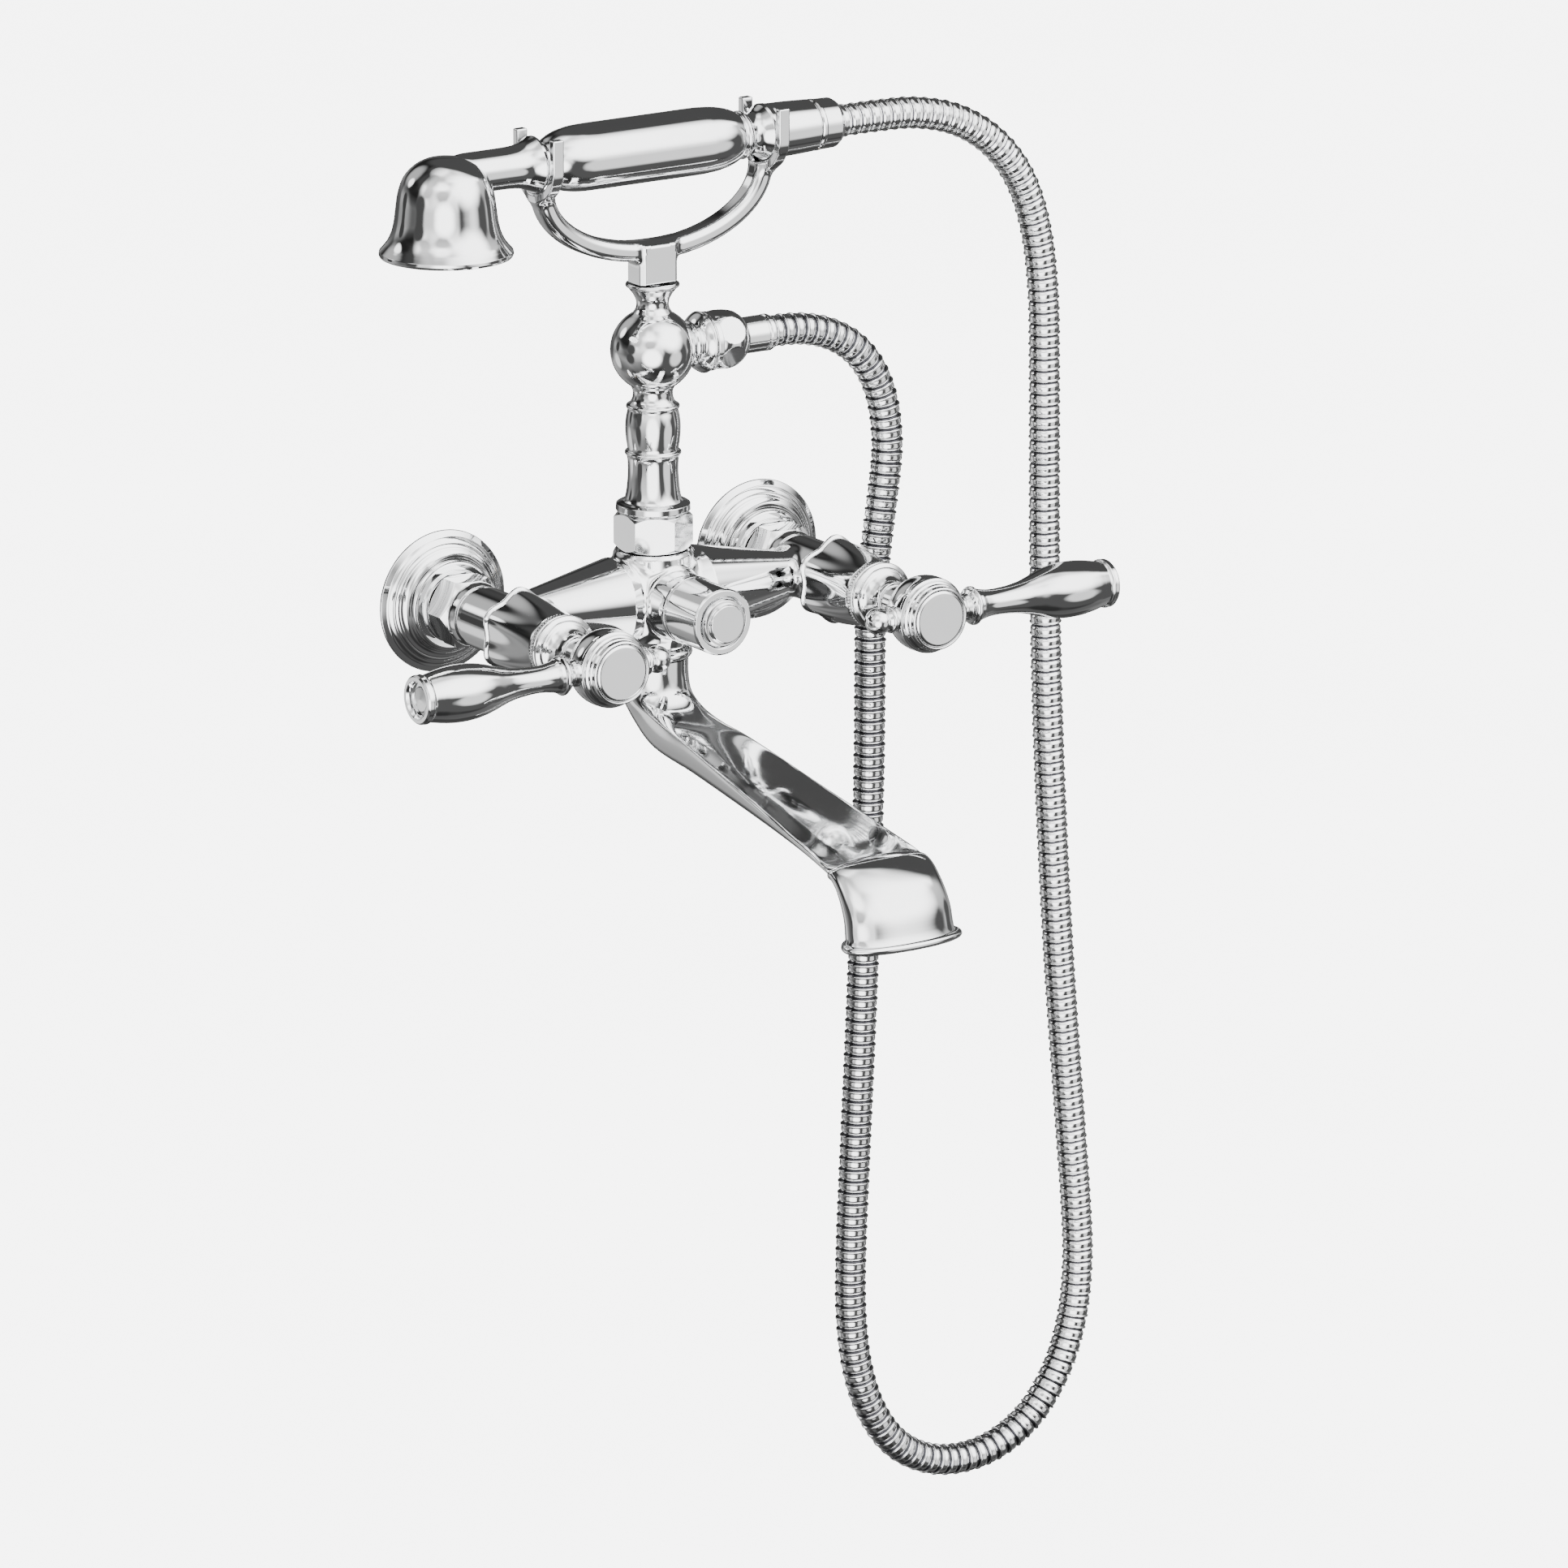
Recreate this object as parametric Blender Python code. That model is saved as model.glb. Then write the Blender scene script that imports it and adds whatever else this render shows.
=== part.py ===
"""Wall mounted bath mixer with a telephone style hand shower, cradle and hose.

Frame: X runs along the wall, the wall is the plane y = 0 and the room is towards
-Y, Z is up.  The origin lies on the wall halfway between the two water inlets.
All sizes below are millimetres and are turned into metres by MM.
Turned pieces are outlines of (radius, distance along the axis) spun on the axis.
"""
import math

import bmesh
import bpy
from mathutils import Matrix, Vector

MM = 0.001

# ---------------------------------------------------------------- driving sizes
INLET_HALF = 89.0          # half the distance between the inlet centres
RISER_OUT = 47.8           # riser, spout pivot and hose plane, from the wall
GAP = 0.3                  # clearance left where two pieces touch
BORE_PHASE = 0.11          # turns the facets of bores off those of the castings

ESCUTCHEON_R = 34.6
PIPE_R = 11.0              # inlet coupler
NUT_CORNER_R = 18.2
NUT_BACK, NUT_FRONT = 15.0, 30.5
TUBE_R = 15.0              # valve tube of the body
TUBE_BACK, TUBE_FRONT = 31.0, 72.0
BONNET_BACK, BONNET_FRONT = 70.0, 103.5
BONNET_R, BONNET_FLUTE = 20.2, 1.3
FLUTES = 6

HUB_OUT = 147.0            # centre of the lever hub, from the wall
HUB_R = 18.4
LEVER_TIP = 104.5          # from the valve axis to the end of the lever

DIVERTER_SEAM = 82.0
DIVERTER_FACE = 108.4
DIVERTER_R = 16.1

SIDES = (("hot", -1), ("cold", 1))
SPIGOT_BACK = 24.3         # back end of the valve tubes, inside the union nuts
CARTRIDGE_R = 10.7
ARM_ROOT_R, ARM_ROOT_X = 21.5, 23.0
ARM_TIP_R, ARM_TIP_X = 10.4, 78.0
BOSS_R, BOSS_FRONT = 16.6, 68.0
BARREL_R = 19.6

BODY_TOP, BODY_BOTTOM = 23.3, -24.0
BALL_Z, BALL_R = 120.0, 20.2
HOSE_NUT_X, HOSE_NUT_R, HOSE_NUT_FLATS = 38.0, 14.1, 13.6
CRADLE_TOP = 231.5
FORK_X, FORK_Y = 63.0, 16.0

HANDSET_Z = 217.5
BELL_X, BELL_R, BELL_RIM_Z = -114.0, 31.6, 179.6
GRIP_R = 15.9
ARM_R = 9.8
TAIL_END = 102.6

LOOP_HALF, LOOP_DROP = 61.0, 34.6
LOOP_Z = 203.1
LOOP_HALF_WIDTH, LOOP_HALF_THICK = 6.2, 4.8

SPOUT_TOP = -30.0

HOSE_R = 7.75
HOSE_ROUTE = (             # (x, z) in the plane of the riser
    (65.5, 120.0), (75.0, 120.0), (87.0, 118.6), (100.0, 114.6), (112.4, 107.4),
    (122.6, 96.4), (129.6, 82.0), (133.0, 65.0), (133.0, 46.0), (126.6, 0.0),
    (124.2, -30.0), (123.4, -110.0), (120.0, -210.0), (115.4, -305.0),
    (113.6, -345.0), (113.4, -376.0), (116.6, -405.0), (124.6, -430.0),
    (138.6, -450.5), (158.0, -463.0), (180.0, -467.0), (202.0, -463.0),
    (222.0, -450.5), (237.0, -430.0), (245.6, -405.0), (248.6, -376.0),
    (247.2, -345.0), (243.6, -305.0), (235.4, -210.0), (229.2, -110.0),
    (226.2, -20.0), (225.2, 80.0), (224.2, 118.0), (219.8, 150.0), (210.6, 176.0),
    (195.0, 196.0), (174.0, 209.6), (150.0, 216.2), (126.0, 217.5), (102.9, 217.5),
)

CHROME = (0.80, 0.81, 0.82)
BRASS = (0.72, 0.55, 0.25)
STEEL = (0.62, 0.63, 0.64)
RUBBER = (0.03, 0.03, 0.03)
FIBRE = (0.35, 0.08, 0.05)
PLASTIC = (0.82, 0.82, 0.80)
CERAMIC = (0.88, 0.88, 0.86)


# ---------------------------------------------------------------- basic helpers
def clear_scene():
    for obj in list(bpy.data.objects):
        bpy.data.objects.remove(obj, do_unlink=True)


def material_for(name, colour, metallic, roughness):
    """Give each piece its own Principled material."""
    material = bpy.data.materials.new(name + "_finish")
    material.use_nodes = True
    shader = material.node_tree.nodes["Principled BSDF"]
    shader.inputs["Base Color"].default_value = (*colour, 1.0)
    shader.inputs["Metallic"].default_value = metallic
    shader.inputs["Roughness"].default_value = roughness
    return material


def finish_for(name, kind):
    looks = {
        "chrome": (CHROME, 1.0, 0.08),
        "brass": (BRASS, 1.0, 0.3),
        "steel": (STEEL, 1.0, 0.3),
        "rubber": (RUBBER, 0.0, 0.8),
        "fibre": (FIBRE, 0.0, 0.7),
        "plastic": (PLASTIC, 0.0, 0.4),
        "ceramic": (CERAMIC, 0.0, 0.2),
    }
    colour, metallic, roughness = looks[kind]
    return material_for(name, colour, metallic, roughness)


TURNS = {                  # rotation that takes local +Z to the named direction
    "up": (0.0, 0.0, 0.0),
    "down": (math.pi, 0.0, 0.0),
    "out": (math.pi / 2, 0.0, 0.0),
    "right": (0.0, math.pi / 2, 0.0),
    "left": (0.0, -math.pi / 2, 0.0),
}


def place(obj, at, towards="up", parent=None):
    """Put an object at a point in millimetres, its local +Z along a direction."""
    spot = Vector(at) * MM
    if parent is not None:
        obj.parent = parent
        spot = spot - parent.location
    obj.location = spot
    obj.rotation_euler = TURNS[towards]
    return obj


def object_from(name, bm, kind="chrome", smooth_angle=35.0):
    bmesh.ops.recalc_face_normals(bm, faces=bm.faces)
    mesh = bpy.data.meshes.new(name)
    bm.to_mesh(mesh)
    bm.free()
    mesh.shade_smooth()
    mesh.set_sharp_from_angle(angle=math.radians(smooth_angle))
    obj = bpy.data.objects.new(name, mesh)
    bpy.context.scene.collection.objects.link(obj)
    if kind:
        mesh.materials.append(finish_for(name, kind))
    return obj


def loft(bm, rings, cap_start, cap_end):
    """Join rings of points with quads; a ring of one point closes to a tip."""
    rows = [[bm.verts.new(Vector(p) * MM) for p in ring] for ring in rings]
    for low, high in zip(rows, rows[1:]):
        count = max(len(low), len(high))
        for i in range(count):
            j = (i + 1) % count
            if len(low) == 1:
                bm.faces.new((low[0], high[j], high[i]))
            elif len(high) == 1:
                bm.faces.new((low[i], low[j], high[0]))
            else:
                bm.faces.new((low[i], low[j], high[j], high[i]))
    if cap_start:
        bm.faces.new(list(reversed(rows[0])))
    if cap_end:
        bm.faces.new(rows[-1])
    return rows


def circle(radius, height, segments, phase=0.0):
    step = 2 * math.pi / segments
    return [
        (radius * math.cos(i * step + phase), radius * math.sin(i * step + phase), height)
        for i in range(segments)
    ]


def turned_mesh(outline, segments, phase=0.0):
    """Spin an outline; it either starts and ends on the axis, or it is a ring."""
    bm = bmesh.new()
    rings = [
        [(0.0, 0.0, h)] if r == 0 else circle(r, h, segments, phase) for r, h in outline
    ]
    rows = loft(bm, rings, False, False)
    if outline[0][0] != 0:
        first, last = rows[0], rows[-1]
        for i in range(segments):
            j = (i + 1) % segments
            bm.faces.new((last[i], last[j], first[j], first[i]))
    return bm


def turned(name, outline, segments, at, towards="up", kind="chrome", parent=None):
    obj = object_from(name, turned_mesh(outline, segments), kind)
    return place(obj, at, towards, parent)


def tube_outline(outer, inner, low, high):
    return [(inner, low), (outer, low), (outer, high), (inner, high)]


def bulge(radius, centre, angles):
    """Outline points on a ball centred on the axis, angles in degrees from its equator."""
    return [(radius * math.cos(math.radians(a)), centre + radius * math.sin(math.radians(a)))
            for a in angles]


def cutter_from(name, bm, at, towards):
    obj = place(object_from(name, bm, None), at, towards)
    obj.hide_render = True
    obj.display_type = "WIRE"
    return obj


def boolean(obj, tool, operation):
    modifier = obj.modifiers.new(operation.lower() + "_" + tool.name, "BOOLEAN")
    modifier.operation = operation
    modifier.object = tool
    modifier.solver = "EXACT"


def bore(obj, name, radius, low, high, segments, at, towards):
    """Cut a round hole from low to high along an axis."""
    outline = [(0, low), (radius, low), (radius, high), (0, high)]
    mesh = turned_mesh(outline, segments, BORE_PHASE)
    boolean(obj, cutter_from(name, mesh, at, towards), "DIFFERENCE")


def add_turned(obj, name, outline, segments, at, towards):
    """Join a turned form to a casting."""
    boolean(obj, cutter_from(name, turned_mesh(outline, segments), at, towards), "UNION")


def hex_nut(name, corner_r, low, high, hole, at, towards, chamfer=1.2, turn=0.0):
    """Hexagonal nut with chamfered corners and a round hole."""
    bm = bmesh.new()
    flats = circle(corner_r, 0, 6, turn)
    inner = circle(corner_r - chamfer * 1.7, 0, 6, turn)
    rings = [
        [(x, y, low) for x, y, _ in inner],
        [(x, y, low + chamfer) for x, y, _ in flats],
        [(x, y, high - chamfer) for x, y, _ in flats],
        [(x, y, high) for x, y, _ in inner],
    ]
    loft(bm, rings, True, True)
    nut = place(object_from(name, bm), at, towards)
    bore(nut, name + "_hole_tool", hole, low - 2, high + 2, 18, at, towards)
    return nut


def pivot(name, at):
    empty = bpy.data.objects.new(name, None)
    empty.location = Vector(at) * MM
    bpy.context.scene.collection.objects.link(empty)
    return empty


# ---------------------------------------------------------------- wall fittings
def escutcheon_outline():
    """Stepped cover plate: rim, cove, step, cove and a small fillet ring."""
    return [
        (18.6, 0.0), (ESCUTCHEON_R - 0.6, 0.0), (ESCUTCHEON_R, 0.8),
        (ESCUTCHEON_R - 1.0, 2.6), (31.6, 2.9), (28.6, 4.6), (27.6, 6.4),
        (26.0, 6.6), (22.8, 9.0), (21.2, 12.2), (17.2, 12.8), (16.6, 14.4),
        (PIPE_R + 1.0, 14.4), (PIPE_R + 1.0, 10.0), (18.6, 8.0),
    ]


def wall_fittings(side, x):
    """Escutcheon, coupler, washer and union nut of one inlet."""
    at = (x, 0, 0)
    turned(side + "_escutcheon", escutcheon_outline(), 20, at, "out")
    coupler = [
        (7.5, -18.0), (10.2, -18.0), (10.2, 0.0), (PIPE_R, 0.0), (PIPE_R, 17.3),
        (13.2, 17.3), (13.2, 21.5), (7.5, 21.5),
    ]
    turned(side + "_inlet_coupler", coupler, 16, at, "out", "brass")
    washer = tube_outline(12.6, 7.8, 21.8, SPIGOT_BACK - GAP)
    turned(side + "_inlet_washer", washer, 14, at, "out", "fibre")
    nut = hex_nut(side + "_union_nut", NUT_CORNER_R, NUT_BACK, NUT_FRONT,
                  PIPE_R + 0.4, at, "out")
    bore(nut, side + "_nut_thread_tool", 14.1, 17.0, NUT_FRONT + 2, 18, at, "out")


# ---------------------------------------------------------------- mixer body
def mixer_body():
    """Casting: riser barrel, two tapered arms, two valve tubes, diverter boss."""
    barrel = [
        (0, BODY_BOTTOM), (15.6, BODY_BOTTOM), (17.4, BODY_BOTTOM + 3), (19.4, -16),
        (BARREL_R, 0), (BARREL_R, 18), (18.6, BODY_TOP), (13.4, BODY_TOP),
        (13.4, BODY_TOP + 9.0), (0, BODY_TOP + 9.0),
    ]
    centre = (0, -RISER_OUT, 0)
    body = turned("mixer_body", barrel, 20, centre)
    arms = [
        (0, -ARM_TIP_X), (ARM_TIP_R, -ARM_TIP_X), (ARM_ROOT_R, -ARM_ROOT_X),
        (BARREL_R, -BOSS_R), (BARREL_R, BOSS_R),
        (ARM_ROOT_R, ARM_ROOT_X), (ARM_TIP_R, ARM_TIP_X), (0, ARM_TIP_X),
    ]
    tube = [
        (0, SPIGOT_BACK), (13.7, SPIGOT_BACK), (13.7, TUBE_BACK), (TUBE_R, TUBE_BACK),
        (TUBE_R, TUBE_FRONT), (0, TUBE_FRONT),
    ]
    boss = [(0, 30), (BOSS_R, 30), (BOSS_R, BOSS_FRONT), (0, BOSS_FRONT)]
    add_turned(body, "arms_form", arms, 18, centre, "right")
    for side, sign in SIDES:
        add_turned(body, side + "_tube_form", tube, 18, (sign * INLET_HALF, 0, 0), "out")
    add_turned(body, "boss_form", boss, 18, (0, 0, 0), "out")
    for side, sign in SIDES:
        at = (sign * INLET_HALF, 0, 0)
        bore(body, side + "_inlet_bore", 7.5, SPIGOT_BACK - 5, 56, 16, at, "out")
        bore(body, side + "_valve_bore", CARTRIDGE_R + GAP, 52, TUBE_FRONT + 5, 18, at, "out")
    bore(body, "cross_bore", 5.0, -INLET_HALF, INLET_HALF, 12, centre, "right")
    bore(body, "riser_bore", 7.0, BODY_BOTTOM - 5, BODY_TOP + 15, 16, centre, "up")
    bore(body, "spout_socket", 12.6, BODY_BOTTOM - 5, BODY_BOTTOM + 8, 18, centre, "up")
    bore(body, "diverter_bore", 8.6, 36, BOSS_FRONT + 5, 16, (0, 0, 0), "out")
    bore(body, "sleeve_bore", 12.4, 56, BOSS_FRONT + 5, 18, (0, 0, 0), "out")
    for modifier in body.modifiers:
        modifier.solver = "MANIFOLD"    # EXACT leaves edges open where the bores meet


# ---------------------------------------------------------------- valves
def fluted_ring(radius, flute, height, segments):
    """Ring whose radius waves in and out once for each flute."""
    points = []
    for i in range(segments):
        a = 2 * math.pi * i / segments
        r = radius + flute * math.cos(FLUTES * (a - math.pi / 2))
        points.append((r * math.cos(a), r * math.sin(a), height))
    return points


def bonnet_section(t):
    """Mean radius and flute depth of the bonnet, t from the rim to the front."""
    radius = BONNET_R - 6.0 * t ** 1.8
    flute = BONNET_FLUTE * (1 - t) ** 0.7
    return radius, flute


def bonnet(side, at):
    """Bell shaped fluted cover with a thin rim, open at its back."""
    segments = 24
    steps = 5
    rings = [fluted_ring(BONNET_R - 2.6, BONNET_FLUTE * 0.5, BONNET_BACK, segments)]
    rings.append(fluted_ring(BONNET_R, BONNET_FLUTE, BONNET_BACK, segments))
    length = BONNET_FRONT - BONNET_BACK - 1.6
    for i in range(steps + 1):
        t = i / steps
        radius, flute = bonnet_section(t)
        rings.append(fluted_ring(radius, flute, BONNET_BACK + 1.6 + length * t, segments))
    rings.append(circle(9.0, BONNET_FRONT, segments))
    rings.append(circle(9.0, BONNET_FRONT - 3.0, segments))
    rings.append(circle(11.4, BONNET_FRONT - 3.6, segments))
    rings.append(circle(TUBE_R + 0.5, BONNET_BACK + 6.0, segments))
    rings.append(circle(TUBE_R + 0.5, BONNET_BACK, segments))
    bm = bmesh.new()
    rows = loft(bm, rings, False, False)
    for i in range(segments):
        j = (i + 1) % segments
        bm.faces.new((rows[-1][i], rows[-1][j], rows[0][j], rows[0][i]))
    place(object_from(side + "_bonnet", bm), at, "out")


def valve(side, x):
    """Bonnet, knurled ring and ceramic cartridge of one valve."""
    at = (x, 0, 0)
    bonnet(side, at)
    knurl = [
        (9.2, BONNET_FRONT + GAP), (15.4, BONNET_FRONT + GAP), (16.1, 104.6),
        (16.1, 106.8), (15.4, 107.6), (9.2, 107.6),
    ]
    turned(side + "_knurled_ring", knurl, 18, at, "out")
    cartridge = [
        (4.2, 56.3), (CARTRIDGE_R, 56.3), (CARTRIDGE_R, 84.0), (8.6, 86.0),
        (8.6, 99.0), (4.2, 99.0),
    ]
    turned(side + "_cartridge", cartridge, 14, at, "out", "brass")
    disc = [(0, 52.6), (9.6, 52.6), (9.6, 56.0), (0, 56.0)]
    turned(side + "_ceramic_disc", disc, 14, at, "out", "ceramic")


# ---------------------------------------------------------------- levers
def hub_outline():
    """Flared collar, neck, ball and stepped front of the lever hub."""
    return [
        (4.4, 112.0), (12.6, 112.0), (13.4, 108.4), (15.8, 108.2), (16.4, 109.4),
        (15.6, 111.6), (12.0, 113.6), (9.0, 116.4), (8.0, 120.5), (8.2, 128.0),
        *bulge(HUB_R, HUB_OUT, (-60, -40, -20, 0)),
        (18.0, 151.0), (17.0, 151.6), (17.0, 154.2), (15.8, 154.8), (15.8, 157.2),
        (14.6, 158.6), (13.8, 158.6), (13.8, 155.0), (4.4, 155.0),
    ]


def lever_outline():
    """Baluster handle: bead, slim waist, belly and an end ring with a recess."""
    return [
        (4.2, 18.3), (6.0, 19.4), (5.8, 22.0), (8.4, 24.4), (9.2, 25.6), (9.2, 26.8),
        (7.8, 28.2), (6.8, 33.0), (6.3, 40.0), (6.7, 48.0), (8.3, 57.0), (10.9, 65.0),
        (12.8, 73.0), (13.4, 80.5), (12.9, 89.0), (11.4, 96.5), (10.8, 99.6),
        (11.5, 101.0), (11.6, 103.2), (10.6, LEVER_TIP), (8.4, LEVER_TIP),
        (8.0, 101.4), (5.4, 101.4), (5.0, 99.0), (0, 99.0),
    ]


def lever(side, x, sign):
    """Everything that turns on one valve's spindle axis."""
    hinge = pivot(side + "_lever_pivot", (x, -HUB_OUT, 0))
    axis = (x, 0, 0)
    centre = (x, -HUB_OUT, 0)
    outwards, inwards = ("right", "left") if sign > 0 else ("left", "right")
    hub = turned(side + "_lever_hub", hub_outline(), 16, axis, "out", parent=hinge)
    seat = [(0, 14.5), (4.6, 14.5), (4.6, 24.0), (0, 24.0)]
    for towards in ("right", "left"):
        tool = cutter_from(side + "_seat_tool_" + towards, turned_mesh(seat, 14), centre, towards)
        boolean(hub, tool, "DIFFERENCE")
    stem = [(0, 14.8), (4.2, 14.8)]
    turned(side + "_lever_handle", stem + lever_outline(), 14, centre, outwards, parent=hinge)
    finial = stem + [
        (4.2, 18.3), (5.6, 19.6), (6.4, 20.6), (6.4, 21.8), (5.2, 22.8), (4.4, 24.0),
        (6.0, 25.4), (6.5, 27.8), (5.6, 30.4), (3.2, 32.2), (0, 32.8),
    ]
    turned(side + "_lever_finial", finial, 12, centre, inwards, parent=hinge)
    cap = [(0, 157.0), (13.0, 157.0), (13.5, 157.6), (13.5, 159.4), (12.9, 160.0), (0, 160.0)]
    turned(side + "_face_cap", cap, 16, axis, "out", parent=hinge)
    screw = [(0, 134.0), (2.2, 134.0), (2.2, 155.3), (4.0, 155.3), (4.0, 156.7), (0, 156.7)]
    turned(side + "_lever_screw", screw, 10, axis, "out", "steel", parent=hinge)
    spindle = [
        (0, 58.0), (3.9, 58.0), (3.9, 112.5), (4.1, 112.5), (4.1, 153.0),
        (2.5, 153.0), (2.5, 133.0), (0, 133.0),
    ]
    turned(side + "_spindle", spindle, 12, axis, "out", "brass", parent=hinge)


# ---------------------------------------------------------------- diverter
def diverter():
    """Pull knob, stem with piston, return spring and the fixed sleeve."""
    at = (0, 0, 0)
    sleeve = [
        (8.6, 57.0), (12.1, 57.0), (12.1, BOSS_FRONT + GAP), (BOSS_R, BOSS_FRONT + GAP),
        (BOSS_R, DIVERTER_SEAM - 1.2), (BOSS_R - 0.8, DIVERTER_SEAM - GAP),
        (4.0, DIVERTER_SEAM - GAP), (4.0, 77.0), (8.6, 76.0),
    ]
    turned("diverter_sleeve", sleeve, 18, at, "out")
    slide = pivot("diverter_slide", (0, -DIVERTER_FACE, 0))
    knob = [
        (3.9, DIVERTER_SEAM), (DIVERTER_R - 0.6, DIVERTER_SEAM), (DIVERTER_R + 0.2, 83.0),
        (DIVERTER_R, 107.6), (DIVERTER_R - 0.7, DIVERTER_FACE), (12.2, DIVERTER_FACE),
        (12.2, 106.8), (3.9, 106.8),
    ]
    turned("diverter_knob", knob, 18, at, "out", parent=slide)
    button = [
        (0, 107.1), (11.8, 107.1), (11.8, 109.6), (11.0, 110.4), (9.6, 110.4),
        (9.2, 112.0), (8.6, 112.6), (0, 112.6),
    ]
    turned("diverter_button", button, 18, at, "out", parent=slide)
    stem = [
        (0, 44.0), (8.0, 44.0), (8.0, 46.0), (5.6, 46.0), (5.6, 49.0), (8.0, 49.0),
        (8.0, 53.0), (3.6, 53.0), (3.6, 106.0), (0, 106.0),
    ]
    turned("diverter_stem", stem, 14, at, "out", "brass", parent=slide)
    seal = tube_outline(8.2, 5.9, 46.3, 48.7)
    turned("diverter_seal", seal, 14, at, "out", "rubber", parent=slide)
    helix_spring("diverter_spring", 6.1, 0.7, 53.9, 75.2, 5, at)


def helix_spring(name, radius, wire, low, high, coils, at):
    """Open coil spring along the outward axis."""
    sides, per_turn = 4, 8
    rings = []
    for i in range(coils * per_turn + 1):
        a = 2 * math.pi * i / per_turn
        h = low + (high - low) * i / (coils * per_turn)
        ring = []
        for k in range(sides):
            b = 2 * math.pi * k / sides
            r = radius + wire * math.cos(b)
            ring.append((r * math.cos(a), r * math.sin(a), h + wire * math.sin(b)))
        rings.append(ring)
    bm = bmesh.new()
    loft(bm, rings, True, True)
    place(object_from(name, bm, "steel"), at, "out")


# ---------------------------------------------------------------- riser
def riser_outline():
    """Turned column: foot ring, waist, barrel, neck, ball and top ring."""
    return [
        (0, 33.6), (13.0, 33.6), (13.0, 37.0), (11.5, 37.0), (11.5, 41.8), (17.6, 41.8),
        (17.9, 43.0), (17.6, 45.9), (14.4, 46.8), (13.0, 50.0), (11.9, 61.0),
        (12.2, 68.4), (13.3, 70.2), (13.3, 71.6), (12.0, 73.0), (13.1, 81.0),
        (12.0, 90.6), (12.8, 92.8), (10.4, 95.2), (9.4, 99.0),
        *bulge(BALL_R, BALL_Z, (-58, -40, -20, 0, 20, 40, 54)),
        (8.3, 140.0), (7.8, 142.4), (8.6, 145.4), (12.7, 151.4),
        (12.7, 152.6), (5.2, 152.6), (5.2, 164.0), (0, 164.0),
    ]


def riser():
    at = (0, -RISER_OUT, 0)
    column = turned("riser_column", riser_outline(), 18, at)
    bore(column, "column_bore", 6.0, 30, BALL_Z, 14, at, "up")
    bore(column, "outlet_bore", 8.4, 2, 40, 16, (0, -RISER_OUT, BALL_Z), "right")
    washer = tube_outline(12.6, 7.4, BODY_TOP + 9.3, 33.3)
    turned("riser_washer", washer, 14, at, kind="fibre")
    nut = hex_nut("riser_union_nut", 18.9, BODY_TOP + GAP, 41.5, 11.9, at, "up",
                  turn=math.pi / 2)
    bore(nut, "riser_nut_tool", 14.0, BODY_TOP - 2, 37.3, 18, at, "up")
    hose_outlet((0, -RISER_OUT, BALL_Z))


def six_flats():
    """Ring with a hexagonal hole, which cuts the six flats of the hose nut."""
    hole = HOSE_NUT_FLATS / math.cos(math.pi / 6)
    outline = [(hole, 33.4), (22.0, 33.4), (22.0, 60.0), (hole, 60.0)]
    return turned_mesh(outline, 6, math.pi / 6)


def hose_outlet(at):
    """Fitting in the side of the ball, coupling nut, washer and ferrule."""
    fitting = [
        (5.0, 8.0), (8.1, 8.0), (8.1, 18.8), (11.0, 18.8), (11.0, 20.6), (9.8, 21.2),
        (10.6, 23.0), (13.6, 25.6), (14.8, 27.0), (14.8, 27.8), (12.0, 28.0),
        (9.4, 28.2), (9.4, 38.0), (5.0, 38.0),
    ]
    turned("outlet_fitting", fitting, 18, at, "right")
    nut_outline = [
        (9.8, 28.4), (13.6, 28.4), (14.1, 29.2), (14.1, 31.4), (13.4, 32.2),
        *bulge(HOSE_NUT_R, HOSE_NUT_X, (-24, -8, 8, 24, 40)),
        (9.2, 48.0), (9.2, 42.4), (9.8, 42.4),
    ]
    nut = turned("hose_nut", nut_outline, 18, at, "right")
    boolean(nut, cutter_from("hose_nut_flats", six_flats(), at, "right"), "DIFFERENCE")
    washer = tube_outline(9.4, 5.2, 38.3, 40.0)
    turned("hose_washer", washer, 14, at, "right", "rubber")
    ferrule = [
        (5.0, 40.3), (9.4, 40.3), (9.4, 42.1), (8.9, 42.1), (8.9, 61.4), (8.3, 62.0),
        (8.9, 62.6), (8.9, 64.6), (8.0, 65.2), (5.0, 65.2),
    ]
    turned("hose_ferrule", ferrule, 16, at, "right")


def smooth_route(points, spacing):
    """Points at even steps on a smooth curve through the given points."""
    padded = [2 * points[0] - points[1], *points, 2 * points[-1] - points[-2]]
    fine = []
    for i in range(1, len(padded) - 2):
        p0, p1, p2, p3 = padded[i - 1:i + 3]
        for k in range(16):
            t = k / 16
            fine.append(0.5 * (2 * p1 + (p2 - p0) * t + (2 * p0 - 5 * p1 + 4 * p2 - p3) * t * t
                               + (3 * p1 - p0 - 3 * p2 + p3) * t ** 3))
    fine.append(points[-1])
    total = sum((b - a).length for a, b in zip(fine, fine[1:]))
    count = round(total / spacing)
    route, walked, target = [fine[0]], 0.0, total / count
    for a, b in zip(fine, fine[1:]):
        step = (b - a).length
        while walked + step >= target and len(route) < count:
            route.append(a.lerp(b, (target - walked) / step))
            target += total / count
        walked += step
    route.append(fine[-1])
    return route


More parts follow.
